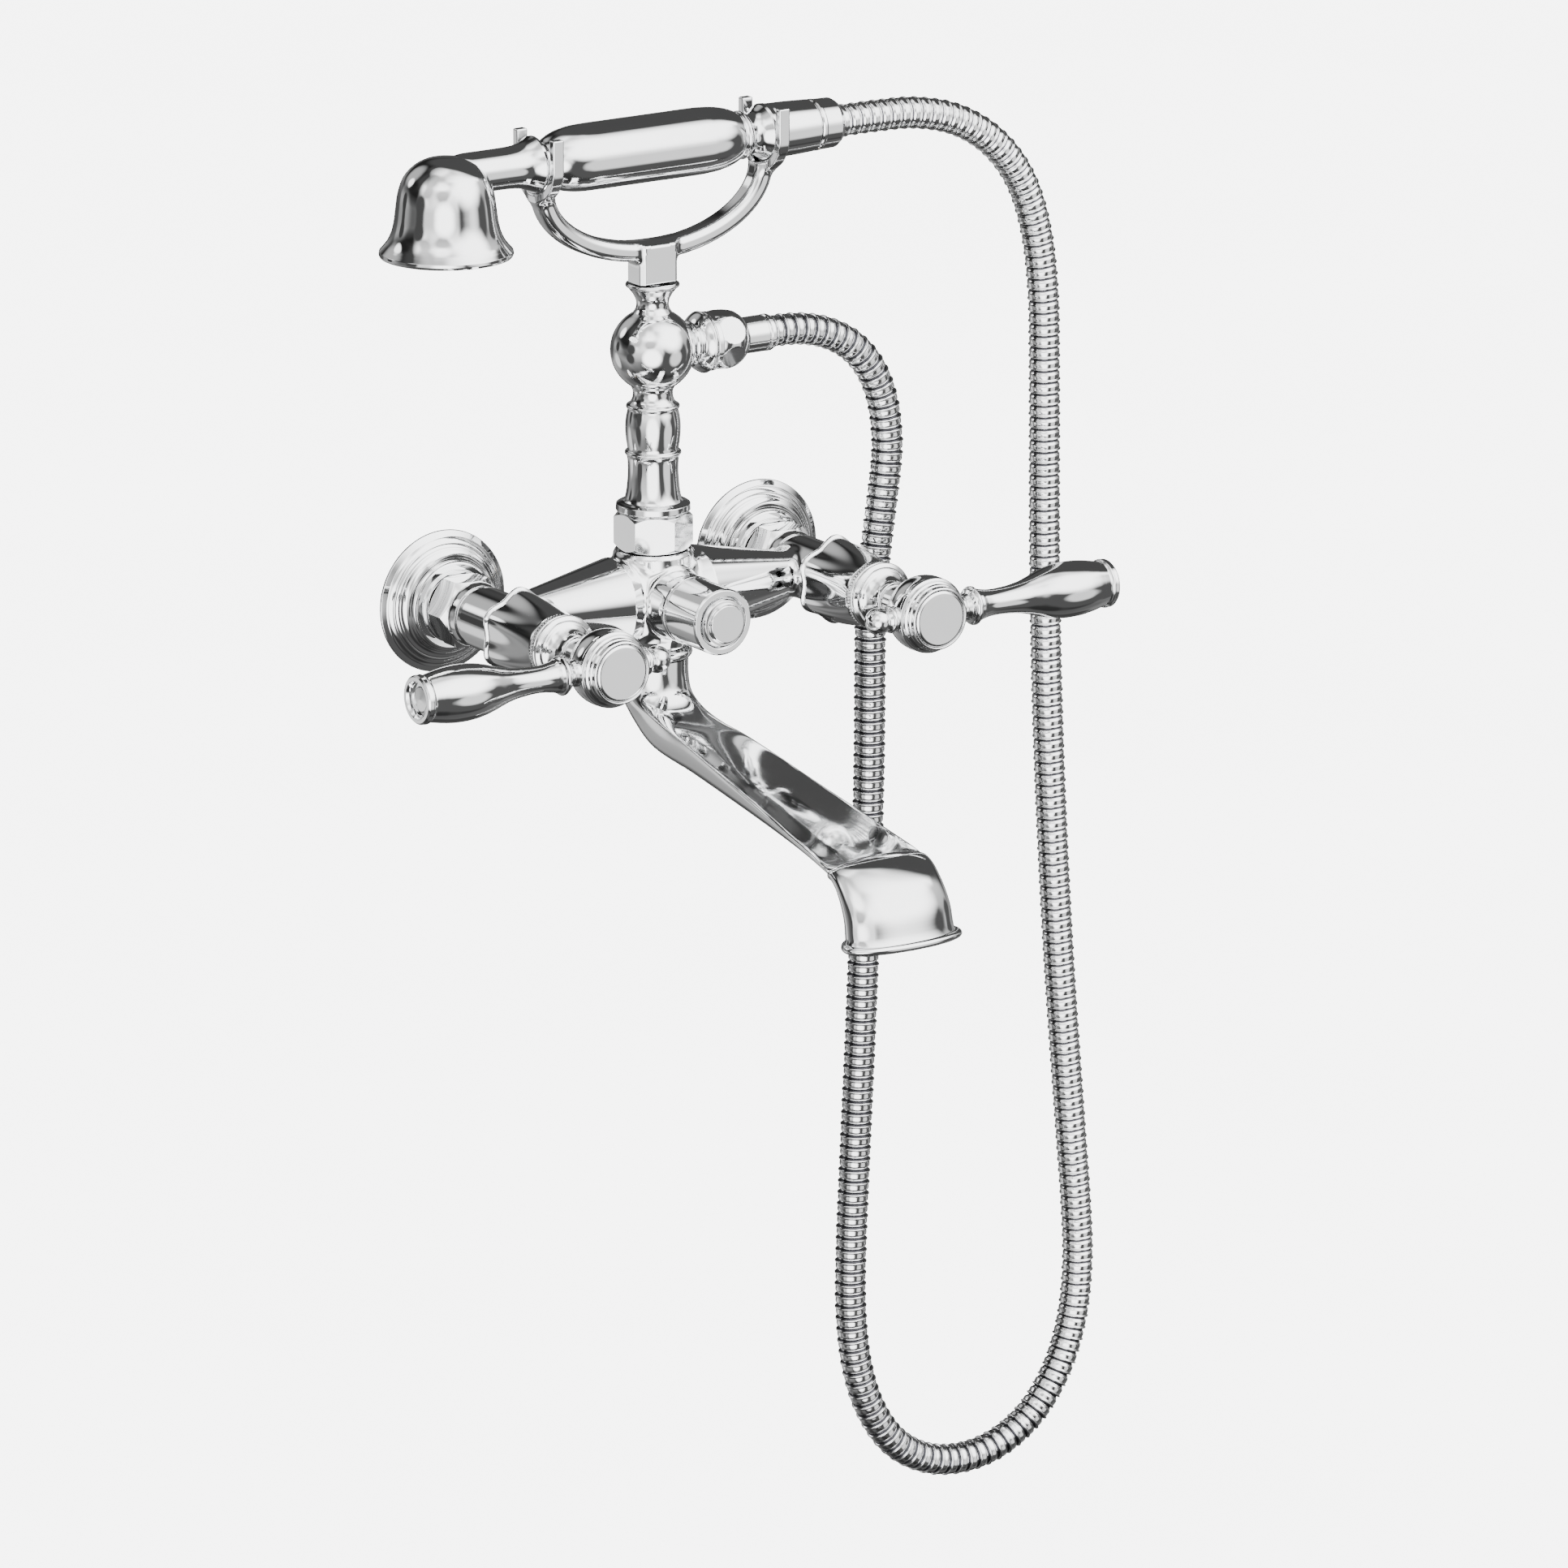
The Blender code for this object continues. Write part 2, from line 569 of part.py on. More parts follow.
def hose():
    """Flexible hose from the ferrule down, round and up to the hand shower."""
    route = [Vector((x, -RISER_OUT, z)) * MM for x, z in HOSE_ROUTE]
    points = smooth_route(route, 2.4 * 2 * HOSE_R * MM)
    points.insert(1, route[0].lerp(route[1], 0.6))       # both ends leave square
    points.insert(-1, route[-1].lerp(route[-2], 0.3))
    curve = bpy.data.curves.new("hose", "CURVE")
    curve.dimensions = "3D"
    curve.bevel_depth = HOSE_R * MM
    curve.bevel_resolution = 2
    curve.use_fill_caps = True
    spline = curve.splines.new("POLY")
    spline.points.add(len(points) - 1)
    for spot, p in zip(spline.points, points):
        spot.co = (*p, 1.0)
    curve.materials.append(finish_for("hose", "chrome"))
    bpy.context.scene.collection.objects.link(bpy.data.objects.new("hose", curve))


# ---------------------------------------------------------------- cradle
LOOP_SECTION = [           # octagon, flat against its four sides
    (LOOP_HALF_WIDTH * x, LOOP_HALF_THICK * y, z)
    for x, y, z in circle(1 / math.cos(math.pi / 8), 0, 8, math.pi / 8)
]


def loop_point(angle):
    """Centre of the cradle's loop, angle from -90 (left fork) to 90 (right)."""
    a = math.radians(angle)
    return Vector((LOOP_HALF * math.sin(a), -RISER_OUT, LOOP_Z - LOOP_DROP * math.cos(a)))


def cradle_loop():
    bm = bmesh.new()
    rings = []
    steps = 14
    for i in range(steps + 1):
        angle = -90 + 180 * i / steps
        here = loop_point(angle)
        along = (loop_point(angle + 1) - loop_point(angle - 1)).normalized()
        side = Vector((0, -1, 0))
        across = along.cross(side)
        rings.append([here + side * y + across * t for y, t, _ in LOOP_SECTION])
    loft(bm, rings, True, True)
    return bm


def fork_plate():
    """U shaped fork seen along X, as (y, z) about the handset axis."""
    inner = FORK_Y - 2.0
    outer = FORK_Y + 2.0
    top = CRADLE_TOP - HANDSET_Z
    points = [(-outer, top), (-outer, -4.0), (-12.0, -14.0), (-6.2, -18.6), (6.2, -18.6),
              (12.0, -14.0), (outer, -4.0), (outer, top), (inner, top)]
    for i in range(9):
        a = math.radians(180.0 * i / 8)
        points.append((inner * math.cos(a), -inner * math.sin(a)))
    points.append((-inner, top))
    return points


def fork(x):
    bm = bmesh.new()
    outline = fork_plate()
    rings = [[(x + dx, -RISER_OUT - y, HANDSET_Z + z) for y, z in outline] for dx in (-3.0, 3.0)]
    loft(bm, rings, True, True)
    return bm


def cradle():
    """Stem block, half oval loop and the two forks that hold the handset."""
    block = bmesh.new()
    corners = []
    for cx, cy, start in ((1, 1, 0), (-1, 1, 90), (-1, -1, 180), (1, -1, 270)):
        for a in (15, 75):
            b = math.radians(start + a)
            corners.append((cx * 7.6 + 2.8 * math.cos(b), -RISER_OUT + cy * 4.6 + 2.8 * math.sin(b)))
    loft(block, [[(x, y, z) for x, y in corners] for z in (153.0, LOOP_Z - LOOP_DROP)], True, True)
    piece = object_from("cradle", block)
    boolean(piece, cutter_from("loop_form", cradle_loop(), (0, 0, 0), "up"), "UNION")
    for side, sign in (("left", -1), ("right", 1)):
        tool = cutter_from(side + "_fork_form", fork(sign * FORK_X), (0, 0, 0), "up")
        boolean(piece, tool, "UNION")
    bore(piece, "cradle_bore", 5.6, 150, 164.4, 14, (0, -RISER_OUT, 0), "up")
    bore(piece, "set_screw_bore", 2.3, -2, 14, 10, (0, -RISER_OUT + 8, 158.5), "out")
    screw = [(0, 0), (2.0, 0), (2.0, 2.2), (0, 2.2)]
    turned("cradle_set_screw", screw, 10, (0, -RISER_OUT + 7.9, 158.5), "out", "steel")


# ---------------------------------------------------------------- spout
# Each row is one station of the spout, from the neck to the mouth: the point on
# the front or top line (out, z), the point on the back or under line (out, z),
# the half width, how far below the top line the widest line lies, how far the
# dished top's edges rise, and the squareness of the top and of the underside
# (2 is an ellipse).
SPOUT_STATIONS = (
    (64.3, -30.0, 31.3, -30.0, 16.5, 16.5, 0.0, 2.0, 2.0),
    (64.4, -38.0, 31.4, -40.0, 16.6, 16.5, 0.0, 2.0, 2.0),
    (66.0, -45.5, 32.8, -52.0, 16.2, 14.0, 0.0, 2.2, 2.0),
    (71.5, -51.5, 39.0, -63.5, 15.0, 6.0, 0.8, 3.0, 2.0),
    (83.0, -56.3, 56.0, -73.5, 15.4, 2.6, 2.0, 4.0, 2.0),
    (100.0, -60.2, 92.0, -78.0, 17.0, 1.6, 2.6, 5.0, 2.0),
    (125.0, -65.2, 121.0, -81.6, 18.8, 1.5, 2.8, 5.0, 2.0),
    (150.0, -70.3, 147.0, -85.0, 20.5, 1.5, 2.8, 5.0, 1.9),
    (186.0, -77.6, 183.6, -89.8, 23.2, 1.4, 2.8, 5.0, 1.7),
    (214.0, -83.3, 212.0, -93.4, 25.2, 1.4, 2.8, 5.0, 1.6),
    (233.0, -87.2, 230.0, -96.2, 26.5, 1.4, 2.6, 5.0, 1.6),
    (240.0, -81.4, 236.0, -98.6, 27.0, 6.0, 0.0, 2.3, 1.8),
    (251.0, -85.0, 240.6, -102.8, 27.6, 9.0, 0.0, 2.5, 2.0),
    (260.0, -92.6, 243.8, -107.0, 28.0, 10.5, 0.0, 2.5, 2.2),
    (266.0, -102.5, 245.6, -111.0, 28.4, 11.0, 0.0, 2.4, 2.3),
    (269.2, -115.0, 246.4, -115.6, 28.8, 11.4, 0.0, 2.4, 2.4),
)
# The passage inside, from the mouth to the neck: top point, under point, half width.
SPOUT_CHANNEL = (
    (266.6, -120.4, 248.8, -120.4, 26.0),
    (266.2, -113.0, 248.8, -112.4, 26.0),
    (262.4, -102.0, 247.0, -107.4, 24.0),
    (252.0, -92.0, 241.0, -100.6, 20.0),
    (234.0, -89.9, 232.0, -93.9, 14.0),
    (186.0, -80.4, 184.4, -87.2, 12.5),
    (130.0, -69.2, 126.6, -80.0, 11.5),
    (92.0, -62.0, 84.0, -74.6, 11.0),
    (72.0, -57.0, 55.0, -69.5, 10.5),
    (60.6, -48.0, 38.0, -55.0, 11.0),
    (57.8, -33.0, 37.8, -33.0, 10.0),
)
SPOUT_SEGMENTS = 18
SPIGOT_R = 12.0


def spout_ring(station, flare=0.0):
    """One closed section of the spout, let out by the flare."""
    out_a, z_a, out_b, z_b, half, shoulder, dish, top_square, under_square = station
    top, under = Vector((0, -out_a, z_a)), Vector((0, -out_b, z_b))
    down = (under - top).normalized()
    top, under = top - down * flare, under + down * flare
    depth = (under - top).length
    half += flare
    ring = []
    for i in range(SPOUT_SEGMENTS):
        a = 2 * math.pi * i / SPOUT_SEGMENTS
        c, s = math.cos(a), math.sin(a)
        power = 2.0 / (top_square if s > 0 else under_square)
        across = math.copysign(abs(c) ** power, c)
        height = abs(s) ** power
        drop = shoulder * (1 - height) if s > 0 else shoulder + (depth - shoulder) * height
        drop -= dish * across * across
        ring.append(top + down * drop + Vector((half * across, 0, 0)))
    return ring


def channel_ring(station):
    """Oval section of the passage."""
    out_a, z_a, out_b, z_b, half = station
    half_depth = math.dist((out_a, z_a), (out_b, z_b)) / 2
    return spout_ring((out_a, z_a, out_b, z_b, half, half_depth, 0.0, 2.0, 2.0))


def spigot_ring(radius, z):
    """Round section above the neck, in step with the spout's own sections."""
    ring = []
    for i in range(SPOUT_SEGMENTS):
        a = 2 * math.pi * i / SPOUT_SEGMENTS
        ring.append(Vector((radius * math.cos(a), -RISER_OUT - radius * math.sin(a), z)))
    return ring


def spout():
    """Hollow cast spout on a swivel spigot, with a bead round its mouth."""
    axle = pivot("spout_pivot", (0, -RISER_OUT, SPOUT_TOP))
    rings = [spigot_ring(r, z) for r, z in (
        (SPIGOT_R, -18.0), (SPIGOT_R, -20.4), (10.6, -20.4), (10.6, -23.0),
        (SPIGOT_R, -23.0), (SPIGOT_R, SPOUT_TOP))]
    rings += [spout_ring(row) for row in SPOUT_STATIONS]
    lip = SPOUT_STATIONS[-1]
    for drop, flare in ((1.4, 1.8), (2.6, 2.8), (4.2, 2.8), (5.4, 1.4)):
        row = (lip[0], lip[1] - drop, lip[2], lip[1] - drop, *lip[4:])
        rings.append(spout_ring(row, flare))
    rings += [channel_ring(row) for row in SPOUT_CHANNEL]
    rings.append(spigot_ring(9.0, -18.0))
    bm = bmesh.new()
    rows = loft(bm, rings, False, False)
    for i in range(SPOUT_SEGMENTS):
        j = (i + 1) % SPOUT_SEGMENTS
        bm.faces.new((rows[-1][i], rows[-1][j], rows[0][j], rows[0][i]))
    place(object_from("spout", bm, smooth_angle=50.0), (0, 0, 0), parent=axle)
    centre = (0, -RISER_OUT, 0)
    o_ring = tube_outline(12.2, 10.9, -22.7, -20.7)
    turned("spout_o_ring", o_ring, 18, centre, kind="rubber", parent=axle)
    collar = [
        (12.4, -29.7), (16.4, -29.7), (18.2, -28.6), (18.6, -27.0), (18.2, -25.4),
        (16.4, BODY_BOTTOM - GAP), (12.4, BODY_BOTTOM - GAP),
    ]
    turned("spout_collar", collar, 18, centre)


# ---------------------------------------------------------------- hand shower
def bell_outline():
    """Bell shaped shell: dome, waist, flared rim and the inside, top to top."""
    return [
        (0, 226.6), (8.0, 226.0), (15.0, 222.6), (20.0, 217.4), (22.6, 211.0),
        (23.9, 204.0), (24.8, 196.0), (26.6, 189.6), (29.2, 184.6), (31.2, 182.2),
        (BELL_R, 181.0), (30.6, BELL_RIM_Z), (28.8, BELL_RIM_Z), (28.4, 182.0),
        (24.6, 188.0), (22.4, 195.0), (21.4, 204.0), (19.6, 212.0), (15.4, 218.4),
        (8.0, 223.0), (0, 223.8),
    ]


def handset():
    """Bell, spray plate, arm, grip, tail and the coupling on the hose's end."""
    lift = pivot("handset_seat", (0, -RISER_OUT, HANDSET_Z))
    above = (BELL_X, -RISER_OUT, 0)
    axis = (0, -RISER_OUT, HANDSET_Z)
    bell = turned("handset_bell", bell_outline(), 20, above, parent=lift)
    bore_tool = [(0, 0), (ARM_R + GAP, 0), (ARM_R + GAP, 40), (0, 40)]
    tool = cutter_from("bell_arm_hole", turned_mesh(bore_tool, 18),
                       (BELL_X, -RISER_OUT, HANDSET_Z), "right")
    boolean(bell, tool, "DIFFERENCE")
    plate = [(0, 181.0), (27.4, 181.0), (28.0, 181.6), (26.2, 184.4), (0, 184.4)]
    turned("handset_spray_plate", plate, 20, above, kind="plastic", parent=lift)
    arm = [
        (7.2, -97.0), (ARM_R, -97.0), (ARM_R, -80.0), (10.2, -74.0), (11.6, -70.0),
        (13.4, -66.8), (13.4, -65.6), (11.4, -64.4), (9.4, -63.0), (9.4, -61.4), (7.2, -61.4),
    ]
    turned("handset_arm", arm, 16, axis, "right", parent=lift)
    grip = [
        (7.2, -61.1), (9.8, -61.1), (12.2, -57.4), (14.0, -53.0), (15.2, -47.6),
        (GRIP_R, -40.0), (GRIP_R, 27.0), (15.2, 35.0), (13.8, 41.0), (11.8, 46.4),
        (11.0, 48.0), (11.4, 49.2), (11.2, 50.6), (7.2, 50.6),
    ]
    turned("handset_grip", grip, 18, axis, "right", parent=lift)
    inner = tube_outline(6.9, 5.2, -72.0, 58.0)
    turned("handset_inner_tube", inner, 14, axis, "right", "brass", parent=lift)
    tail = [
        (7.2, 50.9), (10.4, 50.9), (9.8, 53.6), (10.6, 56.6), (13.3, 60.4), (13.6, 62.6),
        (13.2, 65.4), (13.0, 76.0), (12.5, 88.6), (8.8, 88.6), (8.8, 70.0), (7.2, 70.0),
    ]
    turned("handset_tail", tail, 18, axis, "right", parent=lift)
    valve_body = tube_outline(8.5, 3.0, 70.6, 82.0)
    turned("handset_check_valve", valve_body, 14, axis, "right", "plastic", parent=lift)
    washer = tube_outline(8.4, 4.5, 82.4, 84.6)
    turned("handset_washer", washer, 14, axis, "right", "rubber", parent=lift)
    cone = [
        (4.8, 85.0), (8.4, 85.0), (8.4, 89.0), (12.0, 89.0), (12.4, 90.4), (12.0, 100.2),
        (10.2, TAIL_END), (4.8, TAIL_END),
    ]
    turned("handset_cone_nut", cone, 18, axis, "right", parent=lift)


# ---------------------------------------------------------------- assembly
def build():
    clear_scene()
    mixer_body()
    for side, sign in SIDES:
        wall_fittings(side, sign * INLET_HALF)
        valve(side, sign * INLET_HALF)
        lever(side, sign * INLET_HALF, sign)
    diverter()
    riser()
    hose()
    cradle()
    spout()
    handset()


build()
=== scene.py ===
"""Looks of the wall mounted bath mixer: fine meshes, materials, studio and camera.

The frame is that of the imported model: X along the wall, +Y into the wall, +Z up,
origin on the wall between the inlets.  Sizes here are millimetres, turned to metres
by MM.  Turned pieces are outlines of (radius, distance along the axis) or
(radius, distance, fillet), spun about their axis.
"""
import math

import bmesh
import bpy
import numpy as np
from mathutils import Matrix, Vector


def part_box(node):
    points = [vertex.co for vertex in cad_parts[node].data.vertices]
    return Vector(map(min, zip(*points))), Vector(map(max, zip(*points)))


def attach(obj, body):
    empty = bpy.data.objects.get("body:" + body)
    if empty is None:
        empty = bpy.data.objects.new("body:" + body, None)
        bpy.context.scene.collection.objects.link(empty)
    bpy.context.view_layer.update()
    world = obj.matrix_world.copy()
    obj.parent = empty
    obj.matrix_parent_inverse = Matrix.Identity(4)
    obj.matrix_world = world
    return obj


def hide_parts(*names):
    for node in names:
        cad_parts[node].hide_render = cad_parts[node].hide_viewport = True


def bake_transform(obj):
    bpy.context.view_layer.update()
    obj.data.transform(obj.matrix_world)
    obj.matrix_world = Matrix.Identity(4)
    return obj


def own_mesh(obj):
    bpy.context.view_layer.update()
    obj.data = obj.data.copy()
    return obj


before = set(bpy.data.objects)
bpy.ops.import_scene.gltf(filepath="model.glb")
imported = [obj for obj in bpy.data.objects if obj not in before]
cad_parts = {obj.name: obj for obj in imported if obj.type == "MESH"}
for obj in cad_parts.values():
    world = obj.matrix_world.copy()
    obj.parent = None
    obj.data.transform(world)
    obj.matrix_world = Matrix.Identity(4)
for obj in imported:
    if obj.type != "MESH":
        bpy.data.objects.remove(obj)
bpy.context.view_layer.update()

MM = 0.001

# ---- places, from the frame


def middle(node):
    low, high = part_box(node)
    return (Vector(low) + Vector(high)) / 2 / MM


VALVES = {"hot": middle("hot_escutcheon").x, "cold": middle("cold_escutcheon").x}
SIGN = {"hot": -1, "cold": 1}
RISER_OUT = -middle("riser_column").y
BALL_Z = middle("outlet_fitting").z
HANDSET_Z = middle("handset_grip").z
BELL_X = middle("handset_bell").x
HUB_OUT = 147.0

# ---- camera, first of all
AZIMUTH, ELEVATION = -33.44, 15.72
DISTANCE = 5.3686
AIM = Vector((0.0587, -0.0714, -0.0967))
LENS, SENSOR = 257.66, 36.0


def camera():
    a, e = math.radians(AZIMUTH), math.radians(ELEVATION)
    right = Vector((math.cos(a), math.sin(a), 0.0))
    back = Vector((math.sin(a) * math.cos(e), -math.cos(a) * math.cos(e), math.sin(e)))
    up = back.cross(right)
    data = bpy.data.cameras.new("camera")
    data.lens, data.sensor_width = LENS, SENSOR
    data.clip_end = 60.0
    obj = bpy.data.objects.new("camera", data)
    bpy.context.scene.collection.objects.link(obj)
    turn = Matrix((right, up, back)).transposed().to_4x4()
    obj.matrix_world = Matrix.Translation(AIM + back * DISTANCE) @ turn
    bpy.context.scene.camera = obj


# ---- materials
def nodes_of(material):
    material.use_nodes = True
    tree = material.node_tree
    return tree, tree.nodes["Principled BSDF"]


def add(tree, kind, **settings):
    node = tree.nodes.new(kind)
    for key, value in settings.items():
        if key in node.inputs:
            node.inputs[key].default_value = value
        else:
            setattr(node, key, value)
    return node


def mapped(tree, value, source, target=(0.0, 1.0), style="LINEAR"):
    """An output moved from one range to another, and held inside it."""
    node = add(tree, "ShaderNodeMapRange", interpolation_type=style)
    node.inputs["From Min"].default_value, node.inputs["From Max"].default_value = source
    node.inputs["To Min"].default_value, node.inputs["To Max"].default_value = target
    tree.links.new(value, node.inputs["Value"])
    return node.outputs["Result"]


def noise_between(tree, scale, low, high, detail=3.0):
    """Object space noise mapped to a range."""
    place = add(tree, "ShaderNodeTexCoord")
    noise = add(tree, "ShaderNodeTexNoise", Scale=scale, Detail=detail, Roughness=0.55)
    tree.links.new(place.outputs["Object"], noise.inputs["Vector"])
    return mapped(tree, noise.outputs["Fac"], (0.3, 0.7), (low, high))


def bump_from(tree, shader, height, distance):
    bump = add(tree, "ShaderNodeBump", Strength=1.0, Distance=distance)
    tree.links.new(height, bump.inputs["Height"])
    tree.links.new(bump.outputs["Normal"], shader.inputs["Normal"])


def edge_mask(tree, low, high):
    """0 on flat stretches and 1 on convex edges, from the mesh's own curvature."""
    shape = add(tree, "ShaderNodeNewGeometry")
    return mapped(tree, shape.outputs["Pointiness"], (low, high))


def blended(tree, first, second, factor):
    """Mix of two colours, each a colour or an output."""
    mix = add(tree, "ShaderNodeMix", data_type="RGBA")
    for slot, colour in ((6, first), (7, second)):
        if isinstance(colour, bpy.types.NodeSocket):
            tree.links.new(colour, mix.inputs[slot])
        else:
            mix.inputs[slot].default_value = (*colour, 1.0)
    tree.links.new(factor, mix.inputs[0])
    return mix.outputs[2]


def two_tone(tree, shader, first, second, factor):
    tree.links.new(blended(tree, first, second, factor), shader.inputs["Base Color"])


WORN_ROUGHNESS = 0.05
DULL_SHARE = 0.93


def chrome(name, tint, smooth=0.03, rough=0.075):
    """Polished plate: faint water marks in the gloss, hairline waves, worn edges."""
    material = bpy.data.materials.new(name)
    tree, shader = nodes_of(material)
    shader.inputs["Metallic"].default_value = 1.0
    shader.inputs["IOR"].default_value = 2.4
    marks = noise_between(tree, 55.0, smooth, rough, 4.0)
    worn = edge_mask(tree, 0.52, 0.62)
    gloss = add(tree, "ShaderNodeMath", operation="MULTIPLY_ADD")
    gloss.inputs[1].default_value = WORN_ROUGHNESS
    tree.links.new(worn, gloss.inputs[0])
    tree.links.new(marks, gloss.inputs[2])
    tree.links.new(gloss.outputs[0], shader.inputs["Roughness"])
    dull = [c * DULL_SHARE for c in tint]
    two_tone(tree, shader, tint, dull, noise_between(tree, 23.0, 0.0, 1.0, 5.0))
    bump_from(tree, shader, noise_between(tree, 14.0, 0.0, 1.0, 2.0), 0.00003)
    return material


def machined(name, first, second, smooth, rough):
    """Turned metal with fine tool marks round the piece."""
    material = bpy.data.materials.new(name)
    tree, shader = nodes_of(material)
    shader.inputs["Metallic"].default_value = 1.0
    shader.inputs["Anisotropic"].default_value = 0.4
    two_tone(tree, shader, first, second, noise_between(tree, 40.0, 0.0, 1.0, 6.0))
    tree.links.new(noise_between(tree, 180.0, smooth, rough), shader.inputs["Roughness"])
    bump_from(tree, shader, noise_between(tree, 900.0, 0.0, 1.0), 0.00004)
    return material


def moulded(name, first, second, smooth, rough, grain):
    """Plastic, rubber, fibre or ceramic: slight mottling and a fine grain."""
    material = bpy.data.materials.new(name)
    tree, shader = nodes_of(material)
    two_tone(tree, shader, first, second, noise_between(tree, 60.0, 0.0, 1.0, 5.0))
    tree.links.new(noise_between(tree, 120.0, smooth, rough), shader.inputs["Roughness"])
    bump_from(tree, shader, noise_between(tree, grain, 0.0, 1.0), 0.00005)
    return material


def make_materials():
    return {
        "chrome": chrome("polished_chrome", (0.93, 0.935, 0.94)),
        "hose_chrome": chrome("hose_chrome", (0.90, 0.905, 0.91), 0.05, 0.11),
        # Near black chrome for the hose's folds: painted shade, standing in for the shadow in the
        # recesses between the bands.
        "hose_groove_painted_shade": chrome("hose_folds_painted_shade", (0.09, 0.09, 0.10), 0.25, 0.4),
        "brass": machined("machined_brass", (0.78, 0.60, 0.29), (0.62, 0.45, 0.19), 0.2, 0.4),
        "steel": machined("plain_steel", (0.62, 0.63, 0.64), (0.48, 0.49, 0.5), 0.2, 0.38),
        "rubber": moulded("black_rubber", (0.02, 0.02, 0.02), (0.04, 0.04, 0.04), 0.6, 0.85, 700),
        "fibre": moulded("red_fibre", (0.36, 0.08, 0.05), (0.24, 0.05, 0.03), 0.7, 0.9, 1200),
        "plastic": moulded("grey_plastic", (0.80, 0.80, 0.78), (0.74, 0.74, 0.72), 0.3, 0.45, 500),
        "nozzle": moulded("nozzle_rubber", (0.42, 0.43, 0.45), (0.36, 0.37, 0.38), 0.5, 0.7, 900),
        "ceramic": moulded("white_ceramic", (0.88, 0.88, 0.86), (0.82, 0.82, 0.8), 0.1, 0.2, 300),
    }


MATERIALS = {}

# ---- outlines


def rounded(outline, fillet=0.25, closed=True):
    """Round each corner of an outline: (r, h) takes the default fillet, (r, h, f) its own."""
    points = [(Vector(p[:2]), p[2] if len(p) > 2 else fillet) for p in outline]
    count = len(points)
    result = []
    for i, (here, radius) in enumerate(points):
        inner = closed or 0 < i < count - 1
        if not inner or radius <= 0:
            result.append(tuple(here))
            continue
        to_last = points[i - 1][0] - here
        to_next = points[(i + 1) % count][0] - here
        turn = math.pi - to_last.angle(to_next)
        if turn < 0.03:
            result.append(tuple(here))
            continue
        reach = radius * math.tan(turn / 2)
        reach = min(reach, 0.46 * to_last.length, 0.46 * to_next.length)
        start = here + to_last.normalized() * reach
        end = here + to_next.normalized() * reach
        steps = max(2, round(math.degrees(turn) / 15))
        for k in range(steps + 1):
            t = k / steps
            result.append(tuple(start * (1 - t) ** 2 + here * 2 * t * (1 - t) + end * t * t))
    return result


def flowing(points, steps=6):
    """A smooth stretch through the given points, as outline points with no fillet."""
    pts = [Vector(p[:2]) for p in points]
    padded = [2 * pts[0] - pts[1], *pts, 2 * pts[-1] - pts[-2]]
    result = []
    for i in range(1, len(padded) - 2):
        for k in range(steps):
            result.append((*through(padded[i - 1:i + 3], k / steps), 0.0))
    result.append((*pts[-1], 0.0))
    return result


def through(four, t):
    """Point at share t between the middle two of four points, on a smooth curve."""
    p0, p1, p2, p3 = four
    return 0.5 * (2 * p1 + (p2 - p0) * t + (2 * p0 - 5 * p1 + 4 * p2 - p3) * t * t
                  + (3 * p1 - p0 - 3 * p2 + p3) * t * t * t)


def ball_arc(radius, centre, start, stop, step=5.0):
    """Outline of a ball on the axis between two angles from its equator."""
    count = max(2, round(abs(stop - start) / step))
    angles = [math.radians(start + (stop - start) * i / count) for i in range(count + 1)]
    return [(radius * math.cos(a), centre + radius * math.sin(a), 0.0) for a in angles]


def cove(start, stop, bulge, steps=7):
    """Arc from start to stop; a positive bulge swells to the left of the way."""
    a, b = Vector(start), Vector(stop)
    side = Vector((-(b - a).y, (b - a).x)).normalized() * bulge
    result = []
    for i in range(steps + 1):
        t = i / steps
        result.append((*(a.lerp(b, t) + side * 4 * t * (1 - t)), 0.0))
    return result


# ---- meshes
TURNS = {"up": (0, 0), "out": (math.pi / 2, 0),
         "right": (0, math.pi / 2), "left": (0, -math.pi / 2)}


def matrix_to(at, towards):
    """Local millimetres to the frame: local +Z along the named direction."""
    x, y = TURNS[towards]
    turn = Matrix.Rotation(y, 4, "Y") @ Matrix.Rotation(x, 4, "X")
    return Matrix.Translation(Vector(at) * MM) @ turn @ Matrix.Scale(MM, 4)


def piece_from(name, points, faces, at=(0, 0, 0), towards="up", sharp=None):
    mesh = bpy.data.meshes.new(name)
    mesh.from_pydata([tuple(p) for p in points], [], faces)
    mesh.transform(matrix_to(at, towards))
    mesh.validate()
    bm = bmesh.new()
    bm.from_mesh(mesh)
    bmesh.ops.remove_doubles(bm, verts=bm.verts, dist=1e-7)
    bmesh.ops.recalc_face_normals(bm, faces=bm.faces)
    bm.to_mesh(mesh)
    bm.free()
    mesh.shade_smooth()
    if sharp is not None:
        mesh.set_sharp_from_angle(angle=math.radians(sharp))
    obj = bpy.data.objects.new(name, mesh)
    bpy.context.scene.collection.objects.link(obj)
    return obj


def grid_faces(rows, columns, closed_rows, first_tip=False, last_tip=False):
    """Quads between rows of points that each close on themselves."""
    faces = []
    for i in range(rows if closed_rows else rows - 1):
        low, high = i * columns, ((i + 1) % rows) * columns
        for j in range(columns):
            k = (j + 1) % columns
            faces.append((low + j, low + k, high + k, high + j))
    if first_tip:
        faces.append(tuple(range(columns)))
    if last_tip:
        faces.append(tuple(range((rows - 1) * columns, rows * columns)))
    return faces


def even_normals(obj):
    """Keep broad faces looking flat beside their small fillets."""
    modifier = obj.modifiers.new("even_normals", "WEIGHTED_NORMAL")
    modifier.mode = "FACE_AREA"
    modifier.weight = 60
    modifier.keep_sharp = True


